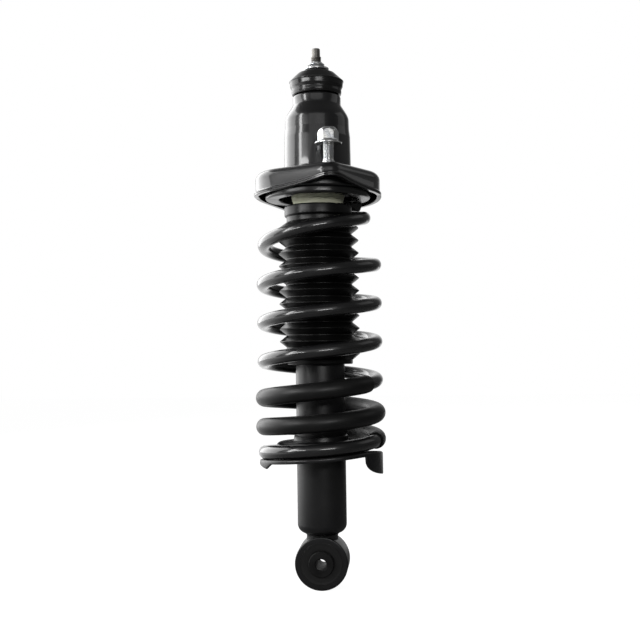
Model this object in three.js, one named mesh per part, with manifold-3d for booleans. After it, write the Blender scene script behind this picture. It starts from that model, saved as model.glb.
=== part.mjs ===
// Rear suspension strut of a car: damper, coil spring, dust boot and upper mount, put together.
// Millimetres, +Z up, at its fully extended length. The origin is on the damper's axis, level with
// the underside of the lower eye. The bolt through the lower eye runs along Y, front end at -Y.
// Heights below are measured from the bolt's axis; the finished group is lifted by the eye's radius.

import * as THREE from 'three';
import { mergeVertices } from 'three/addons/utils/BufferGeometryUtils.js';
import Module from 'manifold-3d';

const wasm = await Module();
wasm.setup();

// ---------------------------------------------------------------- driving dimensions

// Clearances
const seatGap = 0.3; // between pieces that bear on, hold or are welded to each other
const slideGap = 0.1; // radial, at the rod's guide and seal
const looseGap = 0.8; // where a moving piece passes another, or stops short of it
const cutReach = 1; // by which a tool stands out of what it cuts

// Facets
const roundSteps = 26;
const innerSteps = 20; // on pieces inside others
const smallSteps = 16;
const arcSteps = 2; // on a rounded corner
const wireSides = 8;
const stepsPerTurn = 20; // of the wire
const seatSteps = 42; // round the lower spring seat
const isolatorSteps = 32;
const panSideSteps = 6;
const panLobeSteps = 5;
const panEdgeSteps = 3;

// Lower eye, its rubber bush and bolt sleeve
const eyeRadius = 25.7;
const eyeWidth = 30;
const eyeWall = 5.2;
const boltRadius = 5.25;
const sleeveRadius = 12.4;
const sleeveLength = 41;
const neckRadius = 15.5;
const neckHeight = 1.8;
const neckSink = 1; // foot of the neck beyond the ring's bore
const bushRecess = 1.5; // of the rubber's edges inside the ring's faces
const bushBulge = 1.8; // of its middle beyond its edges

// Damper body
const tubeRadius = 24;
const tubeWall = 2;
const tubeLength = 177.9;
const tubeEndRound = 9;
const tubeRollWidth = 6;
const tubeRollThickness = 2.5;
const workBoreRadius = 15;
const workTubeWall = 1.5;
const baseValveFoot = 5.2;
const baseValvePlug = 9.2;
const guideDiscHeight = 11.6;
const guideSpigotHeight = 8;
const sealHeight = 5;
const guideMouthWidth = 4; // relief round the rod at the guide's top
const guideMouthDepth = 2;
const baseValveInset = 1; // foot inside the work tube's outside
const baseValveTaperWidth = 3;
const baseValveTaperHeight = 1.5;

// Rod, piston and their travel
const stroke = 100;
const rodRadius = 6.25;
const rodThreadRadius = 5;
const rodThreadShowing = 5.5;
const rodFlatsLength = 8.3;
const rodFlatsAcross = 7.6;
const pistonSpigotRadius = 4;
const pistonHeight = 13;
const bandHeight = 8;
const bandThickness = 1.6;
const valveStackHeight = 3.2;
const pistonNutHeight = 5;
const pistonNutAcross = 13;
const reboundStopHeight = 6;
const reboundStopRadius = 12;
const reboundStopChamfer = 2;
const rodTipStep = 0.7; // by which the tip is smaller than the thread
const rodTipChamfer = 0.6;
const pistonRoom = 0.6; // between the piston's body and the work tube
const passageRadius = 1.2;
const passageSides = 6;
const valveDiscs = 4;
const valveDiscStep = 1.3; // by which each is smaller than the one above it
const valveDiscRoot = 2; // beyond the bore, before the steps

// Cap on the damper tube, and the dust boot that it carries
const capPlate = 3;
const capWall = 2;
const capSkirt = 14;
const capFlangeThickness = 2.4;
const bootRidges = 11;
const bootRidgeDepth = 7;
const bootValleyRoom = 9; // between the bump stop's neck and the boot's valleys
const bootWall = 1.5;
const bootFootHeight = 4;
const bootCollarStep = 1; // collar beyond the valleys
const bootCollarHeight = 9.5;
const bootShoulderHeight = 15.5;
const bootTopDrop = 6.3; // below the isolator's foot
const bootTopChamfer = 1.2;
const bootCollarFootIn = 2; // where the collar draws in below
const bootCollarFootDrop = 1.5;
const bootFootChamfer = 1;

// Coil spring
const wireRadius = 6.5;
const coilRadius = 54.9; // to the middle of the wire
const coilTurns = 7;
const closedPitch = 24.6; // at the lower end
const workingPitch = 37.6;
const pitchRampStart = 1; // turns at which the pitch starts to open
const pitchRampEnd = 3.2; // and at which it has reached the working pitch
const topCoilRadius = 45;
const topCoilTurns = 0.95; // drawn in over this much of the upper end
const topCoilSettled = 0.3; // of it that already runs at the top radius
const topCoilRise = 8.5; // what the drawn-in turn climbs beyond its pitch
const coilStartAngle = 113; // degrees, seen from above, anticlockwise from +X

// Hose on the spring's lower turns. Its ends lie on the wire's own stations.
const hoseRadius = 8.5;
const hoseRoom = 0.35; // between the wire and the hose's bore
const hoseStart = 0.65; // turns
const hoseEnd = 2.6;

// Lower spring seat
const seatHeight = 67.2; // from the tube's closed end to the lowest point of the ramp
const seatSheet = 2.6;
const seatRimWidth = 5.3; // rim beyond the middle of the wire
const seatWellWidth = 10.8; // floor inside the middle of the wire
const seatLipDrop = 4.2;
const seatCrownHeight = 21.5; // crown above the lowest point of the ramp
const seatCollarHeight = 6;
const seatRampTurns = 0.58; // of wire that lie on the ramp
const seatRampBack = 0.97; // turns by which the ramp is back at its foot
const seatLugDrop = 18;
const seatLugAngle = 365; // degrees, where the lug ends
const seatLugSpan = 45;
const seatDartDrop = 4.5;
const seatDartAngle = 213;
const seatDartRun = 26; // degrees over which the dart falls to its tip
const seatDartEnd = 9; // and over which it comes back
const seatWellChamfer = 1.5;
const seatRimRound = 2.5;
const seatWellThin = 0.5; // under the well's foot
const seatWellFillet = 2;

// Upper spring seat and rubber isolator
const isolatorHeight = 6.3;
const isolatorMargin = 0.2; // beyond the wire, inside and outside
const isolatorPadTurns = 0.22; // of wire that the pad under it reaches down to
const upperSeatHeight = 13.8;
const upperSeatSheet = 2.5;
const upperSeatRim = 8;

// Pan of the upper mount
const panSheet = 3;
const panDepth = 23.2;
const panEdgeRound = 5;
const panRoom = 7.1; // between the spring seat and the pan's wall, at the sides
const panSideRadius = 43;
const panLobeRadius = 14.5;
const panHoleRoom = 0.5; // between the tower and the collar drawn up round it
const panArch = 9.3; // by which the skirt's foot rises towards the studs
const panArchPower = 2.5; // of the way to a stud's lobe, by which it rises
const panLipWidth = 1.4;
const panLipHeight = 3;
const panCollarHeight = 4.5;
const panCollarWall = 1;
const panCollarLand = 0.5; // between the collar's fillet and its top
const panLipStep = 1; // over which the skirt runs out to its lip
const studHoleRoom = 0.4; // between a stud and its hole
const studRoom = 5.5; // between the tower's foot and a stud's head
const studAngle = 15.3; // degrees that the studs stand round from the bolt's axis

// Tower of the upper mount
const towerRadius = 33;
const towerUpperRadius = 31.5;
const towerTaper = 0.4;
const towerSheet = 2.5;
const towerHeight = 76.7;
const towerFootWidth = 5; // foot beyond the spring seat's inner wall
const towerShoulderHeight = 16;
const towerStepHeight = 38.7; // above the pan, where the wall steps in
const towerStepRun = 3; // half the height of that step
const towerUpperTaper = 0.2;
const towerShoulderThin = 0.6; // drop of the shoulder's inside below its outside
const neckChamfer = 1; // inside the neck's edge
const neckedRadius = 23.8;
const neckedHeight = 9.5;
const towerMouthRadius = 12.5;
const cupAbovePan = 17.5;
const cupSheet = 2.5;
const cupSkirt = 12.5;
const cupBoreRoom = 2; // beyond the rod's own room
const cupEdgeRound = 3;

// Bushings, washers and nuts
const upperBushingHeight = 24;
const upperBushingRadius = 26.6;
const upperBushingFootRadius = 24;
const upperBushingTopRadius = 12.5;
const upperBushingEdgeHeight = 13.7; // above its foot, where the moulding edge is
const upperBushingGroove = 6; // above its foot, between the bulges
const upperBushingBulge = 1.8; // by which the upper bulge stands out beyond the foot
const upperBushingLean = 0.4; // by which the groove stands out beyond the foot
const upperBushingEdge = 1; // thickness of the moulding edge
const lowerBushingHeight = 12.4;
const lowerBushingRadius = 19.5;
const collarWall = 4;
const washerThickness = 2.5;
const upperWasherRadius = 12.5;
const lowerWasherRadius = 19;
const washerDish = 1.2;
const washerFlatShare = 0.55; // of its radius, unless the nut on it is wider
const washerLand = 0.4; // flat beyond the nut's flange
const washerRim = 1; // least width of its dished rim
const rodNutAcross = 14;
const rodNutHeight = 6;
const rodNutFlangeRadius = 10;
const studRadius = 5;
const studLength = 31; // above the pan
const studHeadRadius = 8.5;
const studHeadHeight = 3.2;
const studTipChamfer = 1.5;
const studNutAcross = 17;
const studNutHeight = 15.3;
const studNutFlangeRadius = 12.7;
const studNutStandoff = 17.7; // above the pan
const nutFlangeThickness = 2;
const nutDomeFoot = 0.72; // share of the height at which the corners start to round
const nutDomeMiddle = 0.86;
const nutCornerRoom = 1; // of the dome beyond the corners, below it
const nutCornerCut = 0.8;
const nutTopCut = 1.2; // of the top face inside the flats

// Bump stop
const bumpStopRoom = 1.1; // between the foam and its cup
const bumpStopGroove = 3;
const bumpStopNoseRadius = 17;
const bumpStopBore = 7.2;
const bumpStopRings = 3;
const bumpStopRingDepth = 4; // of the grooves between the rings
const bumpStopRingRoom = 3; // by which the last ring is wider than the nose
const bumpStopRingTop = 0.75; // shares of a ring's height
const bumpStopRingFoot = 0.4;
const bumpStopWaistDrop = 8; // below the boot's groove, where the rings start
const bumpStopWaistIn = 3;
const bumpStopHipDrop = 4; // and where it is widest below the groove
const bumpStopHipOut = 2;
const bumpStopStep = 0.6; // over the boot's top
const bumpStopTaperHeight = 9;

// ---------------------------------------------------------------- radii that follow from others

const towerFootRadius = topCoilRadius - wireRadius + towerFootWidth;
const studCircleRadius = towerFootRadius + studRoom + studHeadRadius;
const cupRadius = towerRadius - towerTaper - towerSheet - seatGap;
const bumpStopRadius = cupRadius - cupSheet - bumpStopRoom;
const bumpStopNeckRadius = bumpStopRadius - bumpStopGroove;
const bootValleyRadius = bumpStopNeckRadius + bootValleyRoom;
const bootRidgeRadius = bootValleyRadius + bootRidgeDepth;
const bootCollarRadius = bootValleyRadius + bootCollarStep;
const bootBoreRadius = bootValleyRadius - bootCollarStep - bootWall;
const capFlangeRadius = bootBoreRadius - looseGap;

// ---------------------------------------------------------------- heights, from the bolt's axis up

const tubeFoot = eyeRadius + neckHeight;
const tubeTop = tubeFoot + tubeLength;
const tubeFloor = tubeFoot + tubeWall;
const workTubeFoot = tubeFloor + seatGap + baseValveFoot + seatGap;
const baseValveTop = workTubeFoot - seatGap + baseValvePlug;
const sealTop = tubeTop - tubeRollThickness - seatGap;
const guideTop = sealTop - sealHeight - seatGap;
const workTubeTop = guideTop - guideDiscHeight - seatGap;
const guideFoot = guideTop - guideDiscHeight - guideSpigotHeight;
const reboundStopTop = guideFoot - seatGap;
const pistonTop = reboundStopTop - reboundStopHeight - seatGap - seatGap;
const capTop = tubeTop + seatGap + capPlate;
const capFoot = tubeTop - capSkirt;
const bootFoot = capFoot;

const rampFoot = tubeFoot + seatHeight;
const wireStart = rampFoot + seatGap + wireRadius;
const wireEnd = wireStart + springRise(coilTurns);
const isolatorFoot = wireEnd + wireRadius + seatGap;
const isolatorTop = isolatorFoot + isolatorHeight;
const upperSeatTop = isolatorTop + seatGap + upperSeatHeight;
const towerFootBottom = upperSeatTop + seatGap;
const panUnderside = towerFootBottom + towerSheet + seatGap;
const panTop = panUnderside + panSheet;
const bootTop = isolatorFoot - bootTopDrop;

const towerTop = panTop + towerHeight;
const towerCeiling = towerTop - towerSheet;
const upperBushingFoot = towerTop + seatGap;
const upperBushingTop = upperBushingFoot + upperBushingHeight;
const lowerBushingTop = towerCeiling - seatGap;
const lowerBushingFoot = lowerBushingTop - lowerBushingHeight;
const rodShoulder = lowerBushingFoot - seatGap - washerThickness - seatGap;
const upperWasherFoot = upperBushingTop + seatGap;
const rodNutFoot = upperWasherFoot + washerThickness + seatGap;
const rodThreadTop = rodNutFoot + rodNutHeight + rodThreadShowing;
const rodTop = rodThreadTop + rodFlatsLength;
const cupPlateFoot = panTop + cupAbovePan;
const bumpStopTop = cupPlateFoot - seatGap;
const bumpStopNose = capTop + stroke + looseGap;

// ---------------------------------------------------------------- shape helpers

// Height that the wire has gained after some turns: an even closed pitch that opens smoothly to the
// working pitch, and a steeper stretch where the last turn draws in.
function springRise(turns) {
  const rampTurns = pitchRampEnd - pitchRampStart;
  const t = THREE.MathUtils.clamp((turns - pitchRampStart) / rampTurns, 0, 1);
  const openTurns = rampTurns * (t ** 3 - t ** 4 / 2) + Math.max(turns - pitchRampEnd, 0);
  const opened = closedPitch * turns + (workingPitch - closedPitch) * openTurns;
  return opened + topCoilRise * drawnIn(turns);
}

// How far the wire has moved from its working radius to its top radius, from 0 to 1.
function drawnIn(turns) {
  return THREE.MathUtils.smoothstep(turns, coilTurns - topCoilTurns, coilTurns - topCoilSettled);
}

const wireRadiusAt = (turns) => coilRadius + (topCoilRadius - coilRadius) * drawnIn(turns);
const radians = THREE.MathUtils.degToRad;

// Merges shared corners, drops collapsed triangles and turns the faces outward.
function closed(geometry) {
  const bare = new THREE.BufferGeometry();
  bare.setAttribute('position', geometry.getAttribute('position'));
  bare.setIndex(geometry.getIndex());
  const merged = mergeVertices(bare, 1e-3);
  const corners = merged.getAttribute('position');
  const index = merged.getIndex();
  const [a, b, c] = [new THREE.Vector3(), new THREE.Vector3(), new THREE.Vector3()];
  const kept = [];
  let volume = 0;
  for (let i = 0; i < index.count; i += 3) {
    const [p, q, r] = [index.getX(i), index.getX(i + 1), index.getX(i + 2)];
    if (p === q || q === r || r === p) continue;
    kept.push([p, q, r]);
    a.fromBufferAttribute(corners, p);
    b.fromBufferAttribute(corners, q);
    c.fromBufferAttribute(corners, r);
    volume += a.dot(b.cross(c));
  }
  merged.setIndex(kept.flatMap(([p, q, r]) => (volume < 0 ? [p, r, q] : [p, q, r])));
  merged.computeVertexNormals();
  return merged;
}

// Solid of revolution about Z from a closed outline of [radius, height] points.
function turned(outline, steps = roundSteps) {
  const points = [...outline, outline[0]].map(([r, h]) => new THREE.Vector2(r, h));
  return closed(new THREE.LatheGeometry(points, steps).rotateX(Math.PI / 2));
}

// Points of a rounded corner in an outline: a circle's arc between two angles in degrees.
function corner(r, h, radius, from, to, steps = arcSteps) {
  return Array.from({ length: steps + 1 }, (_, i) => {
    const angle = radians(from + ((to - from) * i) / steps);
    return [r + radius * Math.cos(angle), h + radius * Math.sin(angle)];
  });
}

// Closed surface through rings of points, each ring with as many points as the next. The last ring
// joins the first where the rings close, and otherwise both ends are capped flat.
function skinned(rings, ringsClose) {
  const count = rings[0].length;
  const points = rings.flat();
  const faces = [];
  const last = ringsClose ? rings.length : rings.length - 1;
  for (let i = 0; i < last; i++) {
    const j = (i + 1) % rings.length;
    for (let k = 0; k < count; k++) {
      const next = (k + 1) % count;
      const [a, b, c, d] = [i * count + k, i * count + next, j * count + next, j * count + k];
      faces.push(a, b, c, a, c, d);
    }
  }
  if (!ringsClose) {
    for (const [ring, base] of [[rings[0], 0], [rings.at(-1), (rings.length - 1) * count]]) {
      const middle = new THREE.Vector3();
      ring.forEach((p) => middle.addScaledVector(p, 1 / count));
      points.push(middle);
      for (let k = 0; k < count; k++) {
        const edge = [base + k, base + ((k + 1) % count)];
        faces.push(points.length - 1, ...(base ? edge : edge.reverse()));
      }
    }
  }
  const geometry = new THREE.BufferGeometry().setFromPoints(points);
  geometry.setIndex(faces);
  return closed(geometry);
}

// Ring about Z whose outline of [radius, height] points changes with the angle.
function sweptRing(outlineAt, steps) {
  const rings = Array.from({ length: steps }, (_, i) => {
    const angle = (i / steps) * 2 * Math.PI;
    return outlineAt(angle).map(
      ([r, h]) => new THREE.Vector3(r * Math.cos(angle), r * Math.sin(angle), h),
    );
  });
  return skinned(rings, true);
}

function rod(radius, foot, top, steps = smallSteps) {
  return turned([[0, foot], [radius, foot], [radius, top], [0, top]], steps);
}

function solidOf(geometry) {
  const { position } = geometry.attributes;
  const triVerts = new Uint32Array(geometry.getIndex().array);
  const mesh = new wasm.Mesh({ numProp: 3, vertProperties: position.array, triVerts });
  return new wasm.Manifold(mesh);
}

function geometryOf(solid) {
  const mesh = solid.getMesh();
  const geometry = new THREE.BufferGeometry();
  geometry.setAttribute('position', new THREE.BufferAttribute(mesh.vertProperties, 3));
  geometry.setIndex(new THREE.BufferAttribute(mesh.triVerts, 1));
  return closed(geometry);
}

const cut = (body, ...tools) =>
  geometryOf(tools.reduce((left, tool) => left.subtract(solidOf(tool)), solidOf(body)));
const join = (...bodies) =>
  geometryOf(bodies.map(solidOf).reduce((sum, body) => sum.add(body)));
const common = (a, b) => geometryOf(solidOf(a).intersect(solidOf(b)));

// ---------------------------------------------------------------- finishes

const finish = (color, roughness, metalness) => ({ color, roughness, metalness });
const blackPaint = finish(0x0b0b0c, 0.22, 0.1);
const satinPaint = finish(0x1a1a1c, 0.42, 0.1);
const zinc = finish(0xd9dcdf, 0.28, 0.9);
const darkSteel = finish(0x5c5650, 0.45, 0.8);
const brightSteel = finish(0xb9bcc0, 0.2, 1);
const blackRubber = finish(0x121212, 0.6, 0);
const bootRubber = finish(0x141414, 0.45, 0);
const creamFoam = finish(0xd8dcc0, 0.75, 0);
const sinteredSteel = finish(0x6f6c68, 0.55, 0.7);
const bandPlastic = finish(0x3a4a3c, 0.5, 0);

const strut = new THREE.Group();

function place(name, geometry, look, parent = strut) {
  const mesh = new THREE.Mesh(geometry, new THREE.MeshStandardMaterial(look));
  mesh.name = name;
  parent.add(mesh);
  return mesh;
}

// ---------------------------------------------------------------- lower eye

// Forged ring with a short neck that flares where it is welded to the tube's closed end.
function lowerEye() {
  const bore = eyeRadius - eyeWall;
  const halfWidth = eyeWidth / 2;
  const chamfer = 1.5;
  const ring = turned([
    [bore, -halfWidth],
    [eyeRadius - chamfer, -halfWidth],
    [eyeRadius, chamfer - halfWidth],
    [eyeRadius, halfWidth - chamfer],
    [eyeRadius - chamfer, halfWidth],
    [bore, halfWidth],
  ]).rotateX(Math.PI / 2);
  const top = tubeFoot - seatGap;
  const flare = 1.5;
  const neck = turned([
    [0, bore + neckSink],
    [neckRadius, bore + neckSink],
    [neckRadius, top - flare],
    [neckRadius + flare, top],
    [0, top],
  ]);
  const boreTool = rod(bore, -eyeWidth, eyeWidth, roundSteps).rotateX(Math.PI / 2);
  return cut(join(ring, neck), boreTool);
}

// Rubber bonded between ring and sleeve, bulging a little at both ends.
function eyeBush() {
  const outer = eyeRadius - eyeWall - seatGap;
  const inner = sleeveRadius + seatGap;
  const edge = eyeWidth / 2 - bushRecess;
  const bulge = edge + bushBulge;
  const middle = (outer + inner) / 2;
  return turned([
    [inner, -edge],
    [middle, -bulge],
    [outer, -edge],
    [outer, edge],
    [middle, bulge],
    [inner, edge],
  ]).rotateX(Math.PI / 2);
}

// Steel tube that the lower bolt passes through, with chamfered ends.
function innerSleeve() {
  const half = sleeveLength / 2;
  const chamfer = 0.8;
  return turned([
    [boltRadius, chamfer - half],
    [boltRadius + chamfer, -half],
    [sleeveRadius - chamfer, -half],
    [sleeveRadius, chamfer - half],
    [sleeveRadius, half - chamfer],
    [sleeveRadius - chamfer, half],
    [boltRadius + chamfer, half],
    [boltRadius, half - chamfer],
  ]).rotateX(Math.PI / 2);
}

// ---------------------------------------------------------------- damper body

// Reserve tube, spun closed and rounded at its foot, rolled in over the seal at its top.
function outerTube() {
  const inner = tubeRadius - tubeWall;
  const innerRound = tubeEndRound - tubeWall;
  const rolled = tubeRadius - tubeRollWidth;
  const rollRound = 2;
  return turned([
    [0, tubeFoot],
    ...corner(tubeRadius - tubeEndRound, tubeFoot + tubeEndRound, tubeEndRound, -90, 0, 4),
    ...corner(tubeRadius - rollRound, tubeTop - rollRound, rollRound, 0, 90),
    [rolled, tubeTop],
    [rolled, tubeTop - tubeRollThickness],
    [inner, tubeTop - tubeRollThickness],
    ...corner(inner - innerRound, tubeFloor + innerRound, innerRound, 0, -90),
    [0, tubeFloor],
  ]);
}

function workTube() {
  const outer = workBoreRadius + workTubeWall;
  return turned([
    [workBoreRadius, workTubeFoot],
    [outer, workTubeFoot],
    [outer, workTubeTop],
    [workBoreRadius, workTubeTop],
  ], innerSteps);
}

// Valve body between the tubes: a foot with oil slots, and a plug in the work tube.
function baseValve() {
  const foot = tubeFloor + seatGap;
  const footRadius = workBoreRadius + workTubeWall - baseValveInset;
  const plugRadius = workBoreRadius - seatGap;
  const body = turned([
    [0, foot],
    [footRadius, foot],
    [footRadius, foot + baseValveFoot],
    [plugRadius, foot + baseValveFoot],
    [plugRadius, baseValveTop - baseValveTaperHeight],
    [plugRadius - baseValveTaperWidth, baseValveTop],
    [0, baseValveTop],
  ], innerSteps);
  const slotWidth = 5;
  const slot = new THREE.BoxGeometry(3 * footRadius, slotWidth, baseValveFoot);
  slot.translate(0, 0, foot);
  const across = slot.clone().rotateZ(Math.PI / 2);
  return cut(body, closed(slot), closed(across));
}

function rodGuide() {
  const bore = rodRadius + slideGap;
  const disc = tubeRadius - tubeWall - seatGap;
  const spigot = workBoreRadius - seatGap;
  const step = guideTop - guideDiscHeight;
  return turned([
    [bore, guideFoot],
    [spigot, guideFoot],
    [spigot, step],
    [disc, step],
    [disc, guideTop],
    [bore + guideMouthWidth, guideTop],
    [bore + guideMouthWidth, guideTop - guideMouthDepth],
    [bore, guideTop - guideMouthDepth],
  ], innerSteps);
}

function rodSeal() {
  const bore = rodRadius + slideGap;
  const outer = tubeRadius - tubeWall - seatGap;
  const foot = sealTop - sealHeight;
  const lip = 1.5;
  return turned([
    [bore + lip, foot],
    [outer, foot],
    [outer, sealTop],
    [bore + lip, sealTop],
    [bore, sealTop - lip],
    [bore, foot + lip],
  ], innerSteps);
}

// Plastic cap over the tube's top. The bump stop lands on it, and its flange holds the boot.
function tubeCap() {
  const bore = rodRadius + looseGap;
  const inner = tubeRadius + seatGap;
  const outer = inner + capWall;
  const ceiling = capTop - capPlate;
  const flangeFoot = capFoot + bootWall + seatGap;
  const flangeTop = flangeFoot + capFlangeThickness;
  const round = 1.5;
  return turned([
    [bore, ceiling],
    [inner, ceiling],
    [inner, capFoot],
    [outer, capFoot],
    [outer, flangeFoot],
    [capFlangeRadius, flangeFoot],
    [capFlangeRadius, flangeTop],
    [outer, flangeTop],
    ...corner(outer - round, capTop - round, round, 0, 90, 2),
    [bore, capTop],
  ], innerSteps);
}

// Pressed dish welded to the tube. Its floor is a ramp that follows the wire's first turn. The
// lip turns down all round, and runs on into a hanging lug and a small pointed dart.
function lowerSpringSeat() {
  const collar = tubeRadius + seatGap;
  const crown = rampFoot + seatCrownHeight;
  const well = coilRadius - seatWellWidth;
  const rim = coilRadius + seatRimWidth;
  const round = 4.5;
  return sweptRing((angle) => {
    const floor = rampFoot + rampRise(angle);
    const lip = floor - seatLipDrop - lipExtra(angle);
    return [
      [collar, crown - seatSheet],
      [collar, crown + seatCollarHeight],
      [collar + seatSheet, crown + seatCollarHeight],
      [collar + seatSheet, crown],
      ...corner(well - round, crown - round, round, 90, 0),
      [well, floor + seatWellChamfer],
      [well + seatWellChamfer, floor],
      ...corner(rim - seatRimRound, floor - seatRimRound, seatRimRound, 90, 0, 1),
      [rim, lip],
      [rim - seatSheet, lip],
      [rim - seatSheet, floor - seatSheet],
      [well - seatWellThin, floor - seatSheet],
      [well - seatSheet, floor - seatSheet + seatWellFillet],
      ...corner(well - round, crown - round, round - seatSheet, 0, 90, 1),
    ];
  }, seatSteps);
}

// Turns of wire laid down by an angle about the strut, counted from the wire's lower end.
function turnsAt(angle) {
  return THREE.MathUtils.euclideanModulo(angle / (2 * Math.PI) - coilStartAngle / 360, 1);
}

// The ramp follows the wire, then runs back down to its start behind the wire's end.
function rampRise(angle) {
  const turns = turnsAt(angle);
  const back = THREE.MathUtils.smoothstep(turns, seatRampTurns, seatRampBack);
  return springRise(Math.min(turns, seatRampTurns)) * (1 - back);
}

// What the lug and the dart hang below the lip at an angle.
function lipExtra(angle) {
  const degrees = THREE.MathUtils.radToDeg(angle);
  const pastDart = degrees - seatDartAngle;
  const dart = 1 - (pastDart < 0 ? -pastDart / seatDartRun : pastDart / seatDartEnd);
  const beforeLug = (seatLugAngle - degrees) % 360;
  const inLug = beforeLug >= 0 && beforeLug < seatLugSpan;
  const lug = inLug ? Math.sqrt(1 - (beforeLug / seatLugSpan) ** 2) : 0;
  return seatDartDrop * Math.max(dart, 0) + seatLugDrop * lug;
}

// ---------------------------------------------------------------- spring and its upper seat

function wirePoint(turns) {
  const angle = radians(coilStartAngle) + turns * 2 * Math.PI;
  const r = wireRadiusAt(turns);
  return new THREE.Vector3(r * Math.cos(angle), r * Math.sin(angle), wireStart + springRise(turns));
}

// Points round the wire at some turns, square to its run and at a distance from its middle.
function wireRing(turns, radius) {
  const middle = wirePoint(turns);
  const ahead = wirePoint(turns + 0.01).sub(wirePoint(turns - 0.01)).normalize();
  const up = new THREE.Vector3(middle.x, middle.y, 0).cross(ahead).normalize();
  const out = ahead.clone().cross(up);
  return Array.from({ length: wireSides }, (_, k) => {
    const angle = ((k + 0.5) / wireSides) * 2 * Math.PI;
    return middle
      .clone()
      .addScaledVector(out, radius * Math.cos(angle))
      .addScaledVector(up, radius * Math.sin(angle));
  });
}

// Turns at which the wire's rings lie, evenly spaced between two values.
function stations(from, to) {
  const steps = Math.round((to - from) * stepsPerTurn);
  return Array.from({ length: steps + 1 }, (_, i) => from + ((to - from) * i) / steps);
}

// One unbroken tube of round wire, cut square at both ends.
function coilSpring() {
  const turns = stations(0, coilTurns);
  console.log(`coil_spring: least gap to itself ${leastGap(turns.map(wirePoint)).toFixed(2)} mm`);
  return skinned(turns.map((t) => wireRing(t, wireRadius)), false);
}

// Hose slipped over the wire, which keeps the lower turns from striking each other. Its skin runs
// out along the outside and back along the bore.
function springHose() {
  const turns = stations(hoseStart, hoseEnd);
  const outside = turns.map((t) => wireRing(t, hoseRadius));
  const bore = turns.map((t) => wireRing(t, wireRadius + hoseRoom)).reverse();
  return skinned([...outside, ...bore], true);
}

// Least gap between points of the wire that lie more than half a turn apart along it.
function leastGap(middles) {
  const apart = Math.round(stepsPerTurn / 2);
  let least = Infinity;
  middles.forEach((p, i) => {
    middles.slice(i + apart).forEach((q) => {
      least = Math.min(least, p.distanceTo(q) - 2 * wireRadius);
    });
  });
  return least;
}

// Rubber ring over the wire's upper end. Its underside has a pad that comes down to the last
// stretch of wire.
function springIsolator() {
  const inner = topCoilRadius - wireRadius - isolatorMargin;
  const outer = topCoilRadius + wireRadius + isolatorMargin;
  const round = 2;
  return sweptRing((angle) => {
    const foot = isolatorFoot - padDepth(angle);
    return [
      ...corner(inner + round, foot + round, round, -180, -90),
      ...corner(outer - round, foot + round, round, -90, 0),
      [outer, isolatorTop],
      [inner, isolatorTop],
    ];
  }, isolatorSteps);
}

function padDepth(angle) {
  const turns = turnsAt(angle);
  const end = coilTurns % 1 || 1;
  const fromEnd = end - turns;
  if (fromEnd < 0 || fromEnd > isolatorPadTurns) return 0;
  return wireEnd - wireStart - springRise(coilTurns - fromEnd);
}

// Pressed ring of U section, open upward, whose inner wall carries it under the tower's foot.
function upperSpringSeat() {
  const inner = topCoilRadius - wireRadius;
  const outer = topCoilRadius + wireRadius;
  const foot = isolatorTop + seatGap;
  const round = 2.5;
  return turned([
    ...corner(inner + round, foot + round, round, -180, -90, 1),
    ...corner(outer - round, foot + round, round, -90, 0, 1),
    [outer, foot + upperSeatRim],
    [outer - upperSeatSheet, foot + upperSeatRim],
    [outer - upperSeatSheet, foot + upperSeatSheet],
    [inner + upperSeatSheet, foot + upperSeatSheet],
    [inner + upperSeatSheet, upperSeatTop],
    [inner, upperSeatTop],
  ]);
}

// ---------------------------------------------------------------- pan and tower

// Plan of the pan: an arc round each stud and a wide arc on each side, joined by straight edges.
// A ring of it can be drawn larger or smaller by an offset.
const panSideReach = topCoilRadius + wireRadius + panRoom + panSheet;
const panSideCentre = panSideReach - panSideRadius;
const tangent = (() => {
  const slope = Math.atan2(studCircleRadius, -panSideCentre);
  const span = Math.hypot(studCircleRadius, panSideCentre);
  return slope - Math.acos((panSideRadius - panLobeRadius) / span);
})();
const sideArc = { radius: panSideRadius, steps: panSideSteps };
const lobeArc = { radius: panLobeRadius, steps: panLobeSteps };
const panArcs = [
  { ...sideArc, x: panSideCentre, y: 0, from: -tangent, to: tangent },
  { ...lobeArc, x: 0, y: studCircleRadius, from: tangent, to: Math.PI - tangent },
  { ...sideArc, x: -panSideCentre, y: 0, from: Math.PI - tangent, to: Math.PI + tangent },
  { ...lobeArc, x: 0, y: -studCircleRadius, from: Math.PI + tangent, to: 2 * Math.PI - tangent },
];

function panRing(offset, height) {
  const arcs = panArcs.map((arc) =>
    Array.from({ length: arc.steps + 1 }, (_, i) => {
      const angle = arc.from + ((arc.to - arc.from) * i) / arc.steps;
      const reach = arc.radius + offset;
      const [x, y] = [arc.x + reach * Math.cos(angle), arc.y + reach * Math.sin(angle)];
      return new THREE.Vector3(x, y, height);
    }),
  );
  return arcs.flatMap((points, i) => {
    const start = points.at(-1);
    const end = arcs[(i + 1) % arcs.length][0];
    const edge = Array.from({ length: panEdgeSteps - 1 }, (_, k) =>
      start.clone().lerp(end, (k + 1) / panEdgeSteps),
    );
    return [...points, ...edge];
  });
}

// Ring at the skirt's foot, which rises towards the studs.
function skirtRing(offset, aboveFoot) {
  const reach = studCircleRadius + panLobeRadius;
  return panRing(offset, panTop - panDepth + aboveFoot).map((p) =>
    p.setZ(p.z + panArch * Math.min(Math.abs(p.y) / reach, 1) ** panArchPower),
  );
}

// Ring of the pan's plan pulled to a circle, for the hole that the tower stands in.
function panCircle(radius, height) {
  return panRing(0, height).map((p) => p.setZ(0).setLength(radius).setZ(height));
}

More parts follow.
